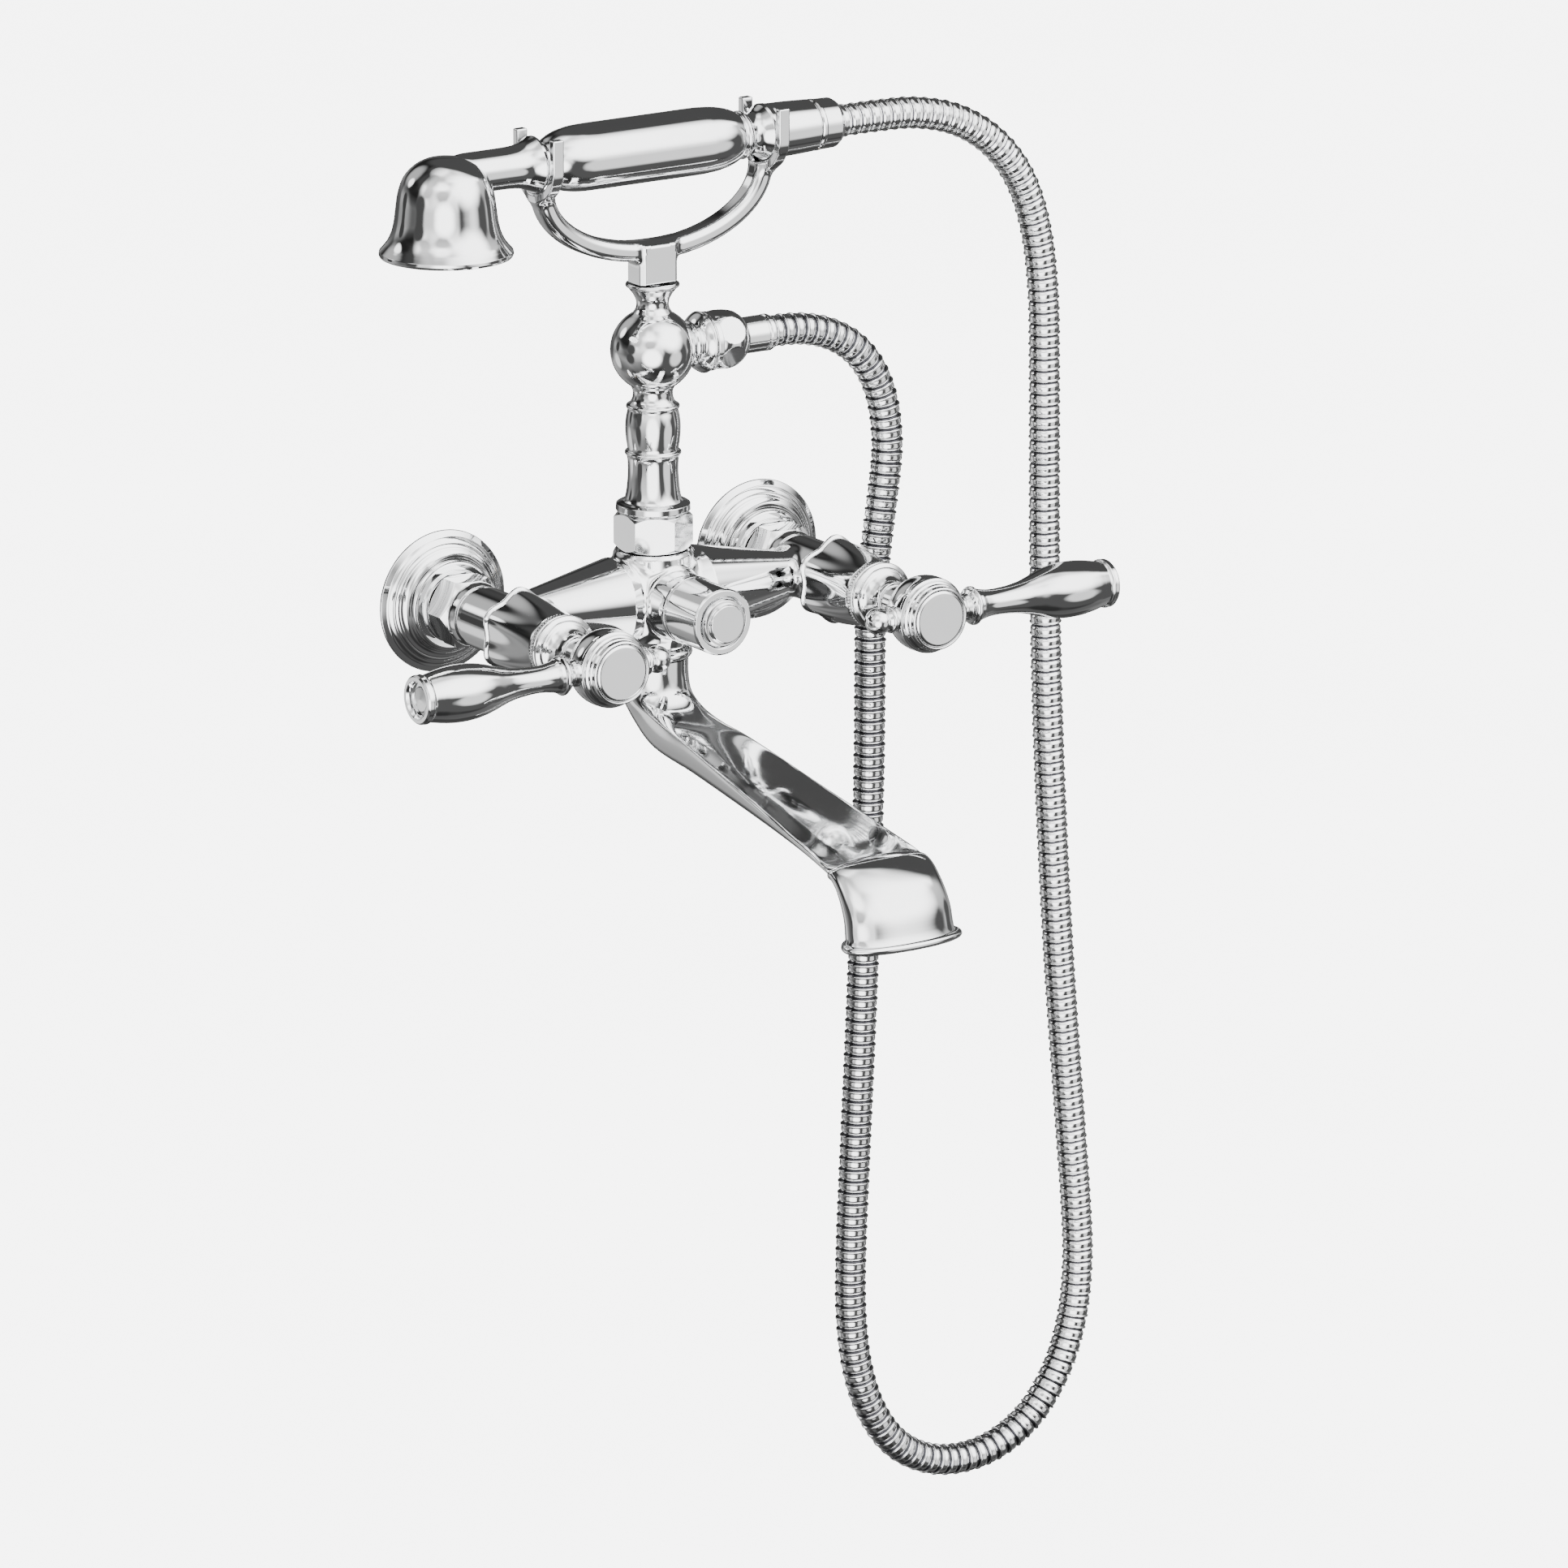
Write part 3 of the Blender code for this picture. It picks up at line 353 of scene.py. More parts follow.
def spun(name, outline, at, towards, segments=96, fillet=0.25, wave=None):
    """Spin an outline. It starts and ends on the axis, or closes into a ring."""
    ring = outline[0][0] != 0
    line = rounded(outline, fillet, closed=ring)
    if not ring:
        line[0] = (0.02, line[0][1])
        line[-1] = (0.02, line[-1][1])
    step = 2 * math.pi / segments
    points = []
    for r, h in line:
        for i in range(segments):
            a = i * step
            reach = r if wave is None else wave(r, h, a)
            points.append((reach * math.cos(a), reach * math.sin(a), h))
    faces = grid_faces(len(line), segments, ring, not ring, not ring)
    obj = piece_from(name, points, faces, at, towards)
    even_normals(obj)
    return obj


def finish(obj, body, slot, nodes, material=None):
    """Material, named by the slot unless one is given, body, and the CAD nodes that a piece stands for,
    which are hidden.
    """
    obj.data.materials.clear()
    obj.data.materials.append(MATERIALS[material or slot])
    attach(obj, body)
    if nodes:
        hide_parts(*nodes)
    return obj


def turned(name, outline, at, towards, body, node, segments=96):
    """Chrome piece spun from an outline, in place of one CAD node."""
    return finish(spun(name, outline, at, towards, segments), body, "chrome", [node])


def hexagonal(apothem):
    """Radius of a hexagon at an angle, flats towards 0, 60, 120 degrees."""
    def radius(angle):
        part = (angle + math.pi / 6) % (math.pi / 3) - math.pi / 6
        return apothem / math.cos(part)
    return radius


def hex_nut(name, apothem, low, high, hole, face_r, at, towards, turn=0.0):
    """Nut whose corners are chamfered by a cone, so each flat ends in a curved edge."""
    segments = 96
    slope = 0.9
    radius = hexagonal(apothem)
    rows = [[], [], [], [], [], []]
    for i in range(segments):
        a = 2 * math.pi * i / segments
        r = radius(a)
        cut = max(0.0, r - face_r) * slope
        c, s = math.cos(a + turn), math.sin(a + turn)
        for row, (reach, h) in zip(rows, (
                (hole, low), (face_r, low), (r, low + cut), (r, high - cut),
                (face_r, high), (hole, high))):
            row.append((reach * c, reach * s, h))
    points = [p for row in rows for p in row]
    obj = piece_from(name, points, grid_faces(6, segments, True), at, towards, sharp=20)
    soften(obj, 0.22)
    return obj


def soften(obj, width):
    """Small bevel on the sharp edges."""
    bevel = obj.modifiers.new("soft_edges", "BEVEL")
    bevel.width = width * MM
    bevel.segments = 2
    bevel.limit_method = "ANGLE"
    bevel.angle_limit = math.radians(25)
    bevel.harden_normals = True


# ---- hose
HOSE_PITCH = 5.8
HOSE_ROUTE = (             # (x, z) in the plane of the riser
    (65.5, 120), (75, 120), (87, 118.6), (100, 114.6), (112.4, 107.4),
    (122.6, 96.4), (129.6, 82), (133, 65), (133, 46), (126.6, 0),
    (124.2, -30), (123.4, -110), (120, -210), (115.4, -305),
    (113.6, -345), (113.4, -376), (116.6, -405), (124.6, -430),
    (138.6, -450.5), (158, -463), (180, -467), (202, -463),
    (222, -450.5), (237, -430), (245.6, -405), (248.6, -376),
    (247.2, -345), (243.6, -305), (235.4, -210), (229.2, -110),
    (226.2, -20), (225.2, 80), (224.2, 118), (219.8, 150), (210.6, 176),
    (195, 196), (174, 209.6), (150, 216.2), (126, 217.5), (102.9, 217.5),
)
HOSE_PROFILE = (           # radius along one pitch: groove, rolled lip, band
    (0.00, 6.3), (0.05, 6.2), (0.08, 7), (0.11, 7.7), (0.15, 7.9), (0.20, 7.85),
    (0.24, 7.5), (0.28, 7.25), (0.34, 7.3), (0.60, 7.45), (0.74, 7.35), (0.80, 6.9),
    (0.88, 6.75), (0.95, 6.6),
)


def even_route(route, step):
    """Points at even steps on a smooth curve through the route, in millimetres."""
    pts = [Vector((x, z)) for x, z in route]
    fine = [Vector(p[:2]) for p in flowing(pts, 24)]
    lengths = [0.0]
    for a, b in zip(fine, fine[1:]):
        lengths.append(lengths[-1] + (b - a).length)
    count = round(lengths[-1] / step)
    marks = np.linspace(0, lengths[-1], count + 1)
    xs = np.interp(marks, lengths, [p.x for p in fine])
    zs = np.interp(marks, lengths, [p.y for p in fine])
    return xs, zs, marks


def paint_shade_in_grooves(mesh, segments):
    """Painted shade in the narrow folds between the bands: their faces take the near black metal that
    stands in for the shadow there.
    """
    steps = len(HOSE_PROFILE)
    for face in mesh.polygons[:-2]:
        place = HOSE_PROFILE[(face.index // segments) % steps][0]
        if place < 0.07 or place > 0.85:
            face.material_index = 1


def hose_rings():
    """Centres, directions and radii of the hose, one for each step of its profile."""
    xs, zs, marks = even_route(HOSE_ROUTE, 1.0)
    total = marks[-1]
    pitches = round(total / HOSE_PITCH)
    pitch = total / pitches
    stations = [(i + s) * pitch for i in range(pitches) for s, _ in HOSE_PROFILE]
    radii = [r for _ in range(pitches) for _, r in HOSE_PROFILE]
    stations.append(total)
    radii.append(HOSE_PROFILE[0][1])
    cx, cz = np.interp(stations, marks, xs), np.interp(stations, marks, zs)
    ahead = np.minimum(np.array(stations) + 1.5, total)
    behind = np.maximum(np.array(stations) - 1.5, 0.0)
    tx = np.interp(ahead, marks, xs) - np.interp(behind, marks, xs)
    tz = np.interp(ahead, marks, zs) - np.interp(behind, marks, zs)
    size = np.hypot(tx, tz)
    return list(zip(cx, cz, tx / size, tz / size, radii))


def hose():
    """Ridged metal hose in the plane of the riser."""
    rings = hose_rings()
    segments = 36
    points = []
    for x, z, ax, az, r in rings:
        for i in range(segments):
            a = 2 * math.pi * i / segments
            c, s = r * math.cos(a), r * math.sin(a)
            points.append((x - az * c, -RISER_OUT + s, z + ax * c))
    faces = grid_faces(len(rings), segments, False, True, True)
    obj = piece_from("metal_hose", points, faces)
    obj.data.materials.append(MATERIALS["hose_chrome"])
    # Second slot: the dark painted shade for the folds between the bands.
    obj.data.materials.append(MATERIALS["hose_groove_painted_shade"])
    paint_shade_in_grooves(obj.data, segments)
    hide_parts("hose")
    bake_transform(obj)


# ---- cast pieces
def turned_distance(r, h, outline):
    """Signed distance to a turned form, its outline running from axis to axis."""
    ring = list(outline) + [(-a, b) for a, b in reversed(outline)]
    best = np.full(r.shape, 1e9)
    inside = np.zeros(r.shape, bool)
    for (ax, ay), (bx, by) in zip(ring, ring[1:] + ring[:1]):
        ex, ey = bx - ax, by - ay
        size = ex * ex + ey * ey
        if size < 1e-9:
            continue
        t = np.clip(((r - ax) * ex + (h - ay) * ey) / size, 0, 1)
        best = np.minimum(best, (r - ax - ex * t) ** 2 + (h - ay - ey * t) ** 2)
        if ey:
            inside ^= ((ay > h) != (by > h)) & (r < ax + (h - ay) * ex / ey)
    return np.where(inside, -1.0, 1.0) * np.sqrt(best)


def rod_distance(r, h, radius, low, high):
    return np.maximum(r - radius, np.maximum(low - h, h - high))


def merge(a, b, blend):
    """Union of two distances with a fillet between them."""
    h = np.maximum(blend - np.abs(a - b), 0) / blend
    return np.minimum(a, b) - h * h * blend / 4


def slope_of(distance, p):
    step = 0.02
    slope = np.empty_like(p)
    for axis in range(3):
        shift = np.zeros(3)
        shift[axis] = step
        slope[:, axis] = (distance(p + shift) - distance(p - shift)) / (2 * step)
    return slope / np.maximum(np.linalg.norm(slope, axis=1, keepdims=True), 1e-6)


def cast(name, node, voxel, distance):
    """Fine even mesh of a CAD node's form, drawn onto a smooth distance field.

    The field takes an array of points as (x, out from the wall, z) in millimetres.
    """
    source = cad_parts[node]
    mesh = source.data.copy()
    mesh.transform(source.matrix_world)
    bm = bmesh.new()
    bm.from_mesh(mesh)
    bmesh.ops.remove_doubles(bm, verts=bm.verts, dist=1e-6)
    bm.to_mesh(mesh)
    bm.free()
    rough = bpy.data.objects.new(name + "_rough", mesh)
    bpy.context.scene.collection.objects.link(rough)
    remesh = rough.modifiers.new("even", "REMESH")
    remesh.mode = "VOXEL"
    remesh.voxel_size = voxel * MM
    graph = bpy.context.evaluated_depsgraph_get()
    fine = bpy.data.meshes.new_from_object(rough.evaluated_get(graph))
    bpy.data.objects.remove(rough, do_unlink=True)
    points = np.empty(len(fine.vertices) * 3)
    fine.vertices.foreach_get("co", points)
    points = points.reshape(-1, 3) / MM
    points[:, 1] *= -1
    for _ in range(4):
        gap = np.clip(distance(points), -0.8, 0.8)
        points -= slope_of(distance, points) * gap[:, None]
    normals = slope_of(distance, points)
    points[:, 1] *= -1
    normals[:, 1] *= -1
    fine.vertices.foreach_set("co", (points * MM).ravel())
    fine.update()
    fine.shade_smooth()
    fine.normals_split_custom_set_from_vertices([tuple(n) for n in normals])
    obj = bpy.data.objects.new(name, fine)
    bpy.context.scene.collection.objects.link(obj)
    return obj


BARREL = [(0, -24), (15.6, -24), (17.0, -22.6), (18.6, -19), (19.4, -14), (19.6, 0),
          (19.6, 17), (19.2, 21.4), (18.2, 23.3), (13.4, 23.3), (13.4, 32.3), (0, 32.3)]
ARMS = [(0, -78), (10.4, -78), (21.5, -23), (19.8, -17), (19.8, 17), (21.5, 23),
        (10.4, 78), (0, 78)]
VALVE_TUBE = [(0, 24.3), (13.7, 24.3), (13.7, 29.8), (15.6, 29.8), (15.7, 30.6),
              (15, 32.4), (14.7, 35.5), (14.9, 38), (15, 41), (15, 72), (0, 72)]
BOSS = [(0, 30), (16.6, 30), (16.6, 67.4), (16.0, 68), (0, 68)]


def body_distance(p):
    x, out, z = p[:, 0], p[:, 1], p[:, 2]
    riser = RISER_OUT - out
    solid = turned_distance(np.hypot(x, riser), z, BARREL)
    solid = merge(solid, turned_distance(np.hypot(riser, z), x, ARMS), 4.0)
    for at in VALVES.values():
        solid = merge(solid, turned_distance(np.hypot(x - at, z), out, VALVE_TUBE), 5.0)
    solid = merge(solid, turned_distance(np.hypot(x, z), out, BOSS), 2.5)
    hollow = rod_distance(np.hypot(riser, z), x, 5.0, -89, 89)
    for at in VALVES.values():
        across = np.hypot(x - at, z)
        hollow = np.minimum(hollow, rod_distance(across, out, 7.5, 19, 56))
        hollow = np.minimum(hollow, rod_distance(across, out, 11.0, 52, 77))
    for radius, low in ((8.6, 36), (12.4, 56)):
        hollow = np.minimum(hollow, rod_distance(np.hypot(x, z), out, radius, low, 73))
    for radius, low, high in ((7.0, -29, 38), (12.6, -29, -16)):
        hollow = np.minimum(hollow, rod_distance(np.hypot(x, riser), z, radius, low, high))
    return np.maximum(solid, -hollow)


LOOP_HALF, LOOP_DROP, LOOP_Z = 61.0, 34.6, 203.1
LOOP_WIDE, LOOP_THICK, LOOP_ROUND = 6.2, 4.8, 4.2
FORK_X, FORK_R, FORK_TOP = 63.0, 16.0, 231.5


def loop_distance(x, side, z):
    """Half oval bar below the hand shower, nearly round in section."""
    angles = np.radians(np.linspace(-90, 90, 241))
    cx, cz = LOOP_HALF * np.sin(angles), LOOP_Z - LOOP_DROP * np.cos(angles)
    tx, tz = LOOP_HALF * np.cos(angles), LOOP_DROP * np.sin(angles)
    size = np.hypot(tx, tz)
    tx, tz = tx / size, tz / size
    near = np.argmin((x[:, None] - cx) ** 2 + (z[:, None] - cz) ** 2, axis=1)
    dx, dz = x - cx[near], z - cz[near]
    along = np.abs(dx * tx[near] + dz * tz[near])
    along = np.maximum(along - 0.3, 0)
    across = np.abs(dx * tz[near] - dz * tx[near])
    u = np.maximum(np.abs(side) - (LOOP_WIDE - LOOP_ROUND), 0)
    v = np.maximum(across - (LOOP_THICK - LOOP_ROUND), 0)
    return np.sqrt(u * u + v * v + along * along) - LOOP_ROUND


def fork_distance(x, side, z):
    """Two U shaped strips round the hand shower, with flat tops and soft edges."""
    up = z - HANDSET_Z
    reach = np.where(up > 0, np.abs(side), np.hypot(side, up))
    thick = np.abs(reach - FORK_R) - 1.4
    wide = np.abs(np.abs(x) - FORK_X) - 2.3
    tall = z - (FORK_TOP - 0.6)
    outer = np.sqrt(np.maximum(thick, 0) ** 2 + np.maximum(wide, 0) ** 2
                    + np.maximum(tall, 0) ** 2)
    return outer + np.minimum(np.maximum(np.maximum(thick, wide), tall), 0) - 0.6


def stem_distance(x, side, z):
    """Upright block with cut corners that carries the loop."""
    flat = np.maximum(np.abs(x) - 10.4, np.abs(side) - 7.4)
    cut = (np.abs(x) + np.abs(side) - 15.6) * 0.7071
    ends = np.maximum(153.0 - z, z - 172.0)
    return np.maximum(np.maximum(flat, cut), ends)


def cradle_distance(p):
    x, out, z = p[:, 0], p[:, 1], p[:, 2]
    side = out - RISER_OUT
    solid = merge(loop_distance(x, side, z), stem_distance(x, side, z), 3.0)
    solid = merge(solid, fork_distance(x, side, z), 4.5)
    seat = rod_distance(np.hypot(side, z - HANDSET_Z), x, 13.9, -80, 80)
    stem = rod_distance(np.hypot(x, side), z, 5.6, 140, 164.4)
    screw = rod_distance(np.hypot(x, z - 158.5), out, 2.3, 30, 53.8)
    return np.maximum(solid, -np.minimum(seat, np.minimum(stem, screw)))


# ---- wall fittings
def escutcheon(side, at):
    outline = [
        (18.6, 0, 0), (34, 0, 0.5), (34.6, 0.8, 0.5), (34.4, 1.7, 0.5), (32, 2.5, 0.3),
        *cove((31.6, 2.6), (28.5, 4.5), -0.35), *cove((28.5, 5), (26.6, 5.9), -0.2),
        (26.3, 6.1, 0.25), *cove((26, 6.2), (22.7, 8.8), 0.55),
        *cove((22.7, 9), (21.2, 11.5), -0.35), (21.1, 12.1, 0.2), (20.2, 12.4, 0.3),
        (17.4, 12.4, 0.5), (17.2, 14, 0.5), (12, 14.3, 0.2), (12, 10, 0), (18.6, 8, 0),
    ]
    turned(side + "_cover_plate", outline, at, "out", "root", side + "_escutcheon", 128)


def threaded_pipe(side, at):
    """Inlet pipe with a thread on the stretch inside the wall."""
    outline = [(7.5, -18, 0.3), (9.4, -18, 0.3)]
    for turn in range(9):
        low = -17.4 + turn * 1.8
        outline += [(9.4, low, 0.1), (10.2, low + 0.7, 0.1), (10.2, low + 1.1, 0.1)]
    outline += [(9.6, -1, 0.2), (10.2, -0.4, 0.2), (11, 0, 0.3), (11, 17.3, 0.3),
                (13.2, 17.3, 0.4), (13.2, 21.5, 0.4), (7.5, 21.5, 0.4)]
    piece = spun(side + "_wall_pipe", outline, at, "out", 64)
    finish(piece, "root", "brass", [side + "_inlet_coupler"])


def union_nut(side, at):
    piece = hex_nut(side + "_wall_nut", 15.76, 15.0, 30.5, 14.4, 15.6, at, "out", math.pi / 6)
    finish(piece, "root", "chrome", [side + "_union_nut"])


# ---- valves
def bonnet_radius(t, angle):
    """Fluted bell: six soft ridges that fade towards the front, t from 0 to 1."""
    mean = 19.3 - 4.0 * t ** 1.9
    flute = 1.3 * (1 - t) ** 0.7
    return mean + flute * math.cos(6 * (angle - math.pi / 2))


def bonnet_cover(side, at):
    """Thin hexagonal rim and fluted bell over the cartridge."""
    segments = 144
    rows = []
    rim = ((16, 69), (19.4, 69), (20.1, 69.2), (20.4, 69.6), (20.4, 70.8), (19.9, 71.2))
    for radius, h in rim:
        rows.append([(radius + 1.45 * math.cos(6 * (a - math.pi / 2)), h)
                     for a in angles_of(segments)])
    steps = 26
    for i in range(steps + 1):
        t = i / steps
        h = 71.5 + 31.4 * t
        rows.append([(bonnet_radius(t, a), h) for a in angles_of(segments)])
    for radius, h in ((14.9, 103.4), (14.4, 103.5), (9.0, 103.5), (9.0, 100.5), (15.5, 76.0)):
        rows.append([(radius, h)] * segments)
    points = []
    for row in rows:
        for (r, h), a in zip(row, angles_of(segments)):
            points.append((r * math.cos(a), r * math.sin(a), h))
    piece = piece_from(side + "_bell_cover", points, grid_faces(len(rows), segments, True),
                       at, "out", sharp=40)
    finish(piece, "root", "chrome", [side + "_bonnet"])


def angles_of(segments):
    return [2 * math.pi * i / segments for i in range(segments)]


def toothed_ring(side, at):
    """Bright bead with a band of fine teeth behind it."""
    teeth = 64
    segments = teeth * 4

    def wave(r, h, angle):
        if 103.8 < h < 106.0 and r > 12:
            return r + 0.32 * math.cos(teeth * angle)
        return r

    outline = [
        (9.2, 103.8, 0), (15.2, 103.8, 0), (15.9, 104.1, 0), (15.9, 105.8, 0), (15.5, 106.1, 0),
        *ball_ring(15.5, 106.9, 0.9, -60, 90), (9.2, 107.7, 0),
    ]
    piece = spun(side + "_toothed_ring", outline, at, "out", segments, wave=wave)
    finish(piece, "root", "chrome", [side + "_knurled_ring"])


def ball_ring(radius, height, bead, start, stop, steps=10):
    """Round bead on a turned outline, between two angles from straight out."""
    result = []
    for i in range(steps + 1):
        a = math.radians(start + (stop - start) * i / steps)
        result.append((radius + bead * math.cos(a), height + bead * math.sin(a), 0))
    return result


def lever_hub(side, at):
    ball_start = -math.degrees(math.acos(8.4 / 18.4))
    outline = [
        (4.4, 112, 0), (12.4, 112, 0), (13.4, 108.5, 0.2), (15.6, 108.2, 0.4),
        *ball_ring(15.6, 109.3, 0.9, -70, 80), (14.6, 110.8, 0.2),
        *cove((13.8, 110.6), (9.2, 115), 0.5), *cove((9, 115.2), (8.2, 121), 0.5),
        (8.3, 129, 0.5), *ball_arc(18.4, HUB_OUT, ball_start, 8),
        (18, 150.4, 0.2), (18.3, 151.1, 0.3), (18.1, 152.4, 0.4), (17, 152.8, 0.2),
        (17, 154.4, 0.5), (16, 155, 0.2), (15.9, 156.4, 0.5), (15.2, 157, 0.2),
        (15.1, 159.2, 0.5), (14.2, 159.6, 0.4), (13.8, 159, 0.1), (13.8, 155, 0), (4.4, 155, 0),
    ]
    turned(side + "_hub", outline, at, "out", side + "_lever", side + "_lever_hub", 112)


def lever_handle(side, at):
    outwards = "right" if SIGN[side] > 0 else "left"
    waist = flowing(((7.3, 30.6), (6.45, 36), (6.35, 42), (6.9, 49), (7.9, 55), (9.3, 60),
                     (10.9, 65), (12.2, 70), (13.1, 75.5), (13.4, 81), (13.15, 87),
                     (12.4, 92.5), (11.5, 97)))
    outline = [
        (0, 14.8, 0), (4.2, 14.8, 0.3), (4.2, 17.6, 0), (6.4, 17.8, 0.4), (6.2, 19.4, 0.6),
        (5.6, 21, 0.8), (6.4, 23, 0.6), (8, 23.9, 0.3), (8.2, 24.6, 0.2),
        *ball_ring(8.4, 26.2, 1, -80, 80), (8, 27.6, 0.2), (7.8, 29.2, 0.4), *waist,
        (11, 99.2, 0.3), (10.9, 99.8, 0.2), *ball_ring(10.9, 101.4, 0.9, -75, 30),
        (11.6, 103.6, 0.4), (10.8, 104.5, 0.4), (9, 104.5, 0.3), (8.4, 103.2, 0.3),
        (8.2, 101.6, 0.3), (6, 101.4, 0.3), (5.6, 102.2, 0.3), (0, 102.6, 0),
    ]
    turned(side + "_baluster_handle", outline, at, outwards, side + "_lever", side + "_lever_handle", 96)


def lever_finial(side, at):
    inwards = "left" if SIGN[side] > 0 else "right"
    outline = [
        (0, 14.8, 0), (4.2, 14.8, 0.3), (4.2, 17.6, 0), (6.2, 17.8, 0.4), (5.8, 18.8, 0.3),
        *ball_ring(5.4, 20.6, 1.2, -75, 75), (5.2, 22.6, 0.4), (4.4, 24, 0.6),
        *ball_arc(6.5, 27, -35, 88, 8), (0, 33, 0),
    ]
    turned(side + "_ball_finial", outline, at, inwards, side + "_lever", side + "_lever_finial", 64)


def face_cap(side, at):
    outline = [
        (0, 157, 0), (13, 157, 0.2), (13.5, 157.4, 0.2), (13.5, 159.3, 0.5),
        *flowing(((12.7, 159.90), (9.5, 160.20), (5, 160.38), (0.02, 160.42)), 5),
        (0, 160.42, 0),
    ]
    turned(side + "_index_cap", outline, at, "out", side + "_lever", side + "_face_cap", 96)


# ---- diverter
def diverter_pieces():
    at = (0, 0, 0)
    sleeve = [
        (8.6, 57), (12.1, 57), (12.1, 68.3), (16.6, 68.3, 0.3), (16.55, 80.7, 0.4),
        (16.2, 81.7, 0.3), (4, 81.7), (4, 77), (8.6, 76),
    ]
    turned("diverter_housing", sleeve, at, "out", "root", "diverter_sleeve")
    knob = [
        (3.9, 82), (15.6, 82, 0.3), (16.4, 82.4, 0.3), (16.4, 83.2, 0.3), (16.1, 83.6, 0.2),
        (16.1, 107.4, 0.6), (15.3, 108.4, 0.5), (12.9, 108.4, 0.5), (12.2, 107.4, 0.3),
        (12.2, 106.8), (3.9, 106.8),
    ]
    turned("pull_knob", knob, at, "out", "diverter", "diverter_knob")
    button = [
        (0, 107.1), (11.8, 107.1, 0.2), (11.8, 109.2, 0.7), (11, 110.2, 0.4), (9.7, 110.4, 0.3),
        (9.4, 111.8, 0.5), (8.8, 112.6, 0.5), (0, 112.6, 0),
    ]
    turned("knob_button", button, at, "out", "diverter", "diverter_button")


# ---- riser
def riser_pieces():
    at = (0, -RISER_OUT, 0)
    column = [
        (0, 33.6), (13, 33.6), (13, 37), (11.5, 37), (11.5, 41.8, 0.2),
        (17.2, 41.8, 0.5), (17.9, 42.8, 0.6), (17.7, 45.6, 0.6), (16.2, 46.3, 0.3),
        *flowing(((14.4, 46.7), (13.5, 48.4), (12.8, 51.5), (12.3, 56), (12, 61), (12.1, 66),
                  (12.4, 68.4)), 4),
        *ball_ring(12.5, 70.4, 1, -70, 80), (12.3, 71.8, 0.2),
        *flowing(((12.2, 72.8), (12.7, 76), (13.1, 80), (13.15, 84), (12.7, 88), (12, 91.2)), 4),
        *ball_ring(11.7, 92.8, 1.1, -75, 80), *flowing(((11.4, 94.2), (10.2, 95.8), (9.6, 98),
        (9.6, 100.4), (10.2, 102)), 4),
        *ball_arc(20.2, BALL_Z, -58, 62),
        *flowing(((9, 138.6), (8, 140.4), (7.7, 142.6), (8.2, 145), (9.6, 147.6),
                  (11.6, 150.2)), 4),
        *ball_ring(12, 151.6, 0.9, -60, 85), (5.2, 152.6), (5.2, 164), (0, 164),
    ]
    turned("riser", column, at, "up", "root", "riser_column", 112)
    nut = hex_nut("riser_nut", 16.4, 23.6, 41.5, 12.2, 16.2, at, "up")
    finish(nut, "root", "chrome", ["riser_union_nut"])


def outlet_pieces():
    at = (0, -RISER_OUT, BALL_Z)
    fitting = [
        (5, 8), (8.1, 8), (8.1, 18.4), (10.6, 18.8, 0.3), (11.2, 19.6, 0.4),
        (11, 20.8, 0.4), (10, 21.4, 0.2), *cove((9.9, 21.8), (14.4, 26), -0.5),
        *ball_ring(14.2, 27, 0.65, -70, 85), (12, 28), (9.4, 28.2), (9.4, 38), (5, 38),
    ]
    turned("hose_outlet", fitting, at, "right", "root", "outlet_fitting")
    ball_nut(at)
    ferrule = [
        (5, 40.3), (9.4, 40.3), (9.4, 42.1), (8.9, 42.1), (8.9, 48.4, 0.3), (8.75, 49, 0.2),
        (8.75, 60.8, 0.3), (8.2, 61.4, 0.2), (8.2, 62.2, 0.2), (8.9, 62.6, 0.4), (8.9, 64.4, 0.5),
        (8.2, 65.2, 0.3), (5, 65.2),
    ]
    turned("ferrule", ferrule, at, "right", "root", "hose_ferrule")


def ball_nut(at):
    """Coupling nut turned as a ball, with six round flats."""
    flats = hexagonal(13.0)

    def wave(r, h, angle):
        if h < 31.9 or r < 10:
            return r
        return min(r, flats(angle))

    outline = [
        (9.8, 28.4), (13.5, 28.4, 0.3), (14.2, 29, 0.4), (14.2, 31.3, 0.4), (13.5, 31.8, 0.2),
        *ball_arc(14.6, 38, -24, 50, 2.5), (9.2, 49.2, 0.2), (9.2, 42.4), (9.8, 42.4),
    ]
    piece = spun("coupling_nut", outline, at, "right", 144, wave=wave)
    piece.data.set_sharp_from_angle(angle=math.radians(14))
    finish(piece, "root", "chrome", ["hose_nut"])


# ---- spout
# Stations of the arm and of the hood: top line (out, z), under line (out, z), half
# width, how far below the top line the widest line lies, rise of the dished top's
# edges, squareness of the top and of the underside (2 is an ellipse).
SPOUT_ARM = (
    (64.3, -29.8, 31.3, -29.8, 16.5, 16.5, 0, 2, 2),
    (64.4, -38, 31.4, -40, 16.6, 16.5, 0, 2, 2),
    (66, -45.5, 32.8, -52, 16.2, 14, 0, 2.2, 2),
    (71.5, -51.5, 39, -63.5, 15, 6, 0.8, 3, 2),
    (83, -56.3, 56, -73.5, 15.4, 2.6, 2, 4, 2),
    (100, -60.2, 92, -78, 17, 1.6, 2.6, 5, 2),
    (125, -65.2, 121, -81.6, 18.8, 1.5, 2.8, 5, 2),
    (150, -70.3, 147, -85, 20.5, 1.5, 2.8, 5, 1.9),
    (186, -77.6, 183.6, -89.8, 23.2, 1.4, 2.8, 5, 1.7),
    (214, -83.3, 212, -93.4, 25.2, 1.4, 2.8, 5, 1.6),
    (233, -87.2, 230, -96.2, 26.5, 1.4, 2.6, 5, 1.6),
    (238, -88.6, 235, -97, 25.4, 1.4, 1.4, 4, 1.6),
    (246, -92, 243, -98, 20, 1.4, 0, 2.5, 1.6),
)
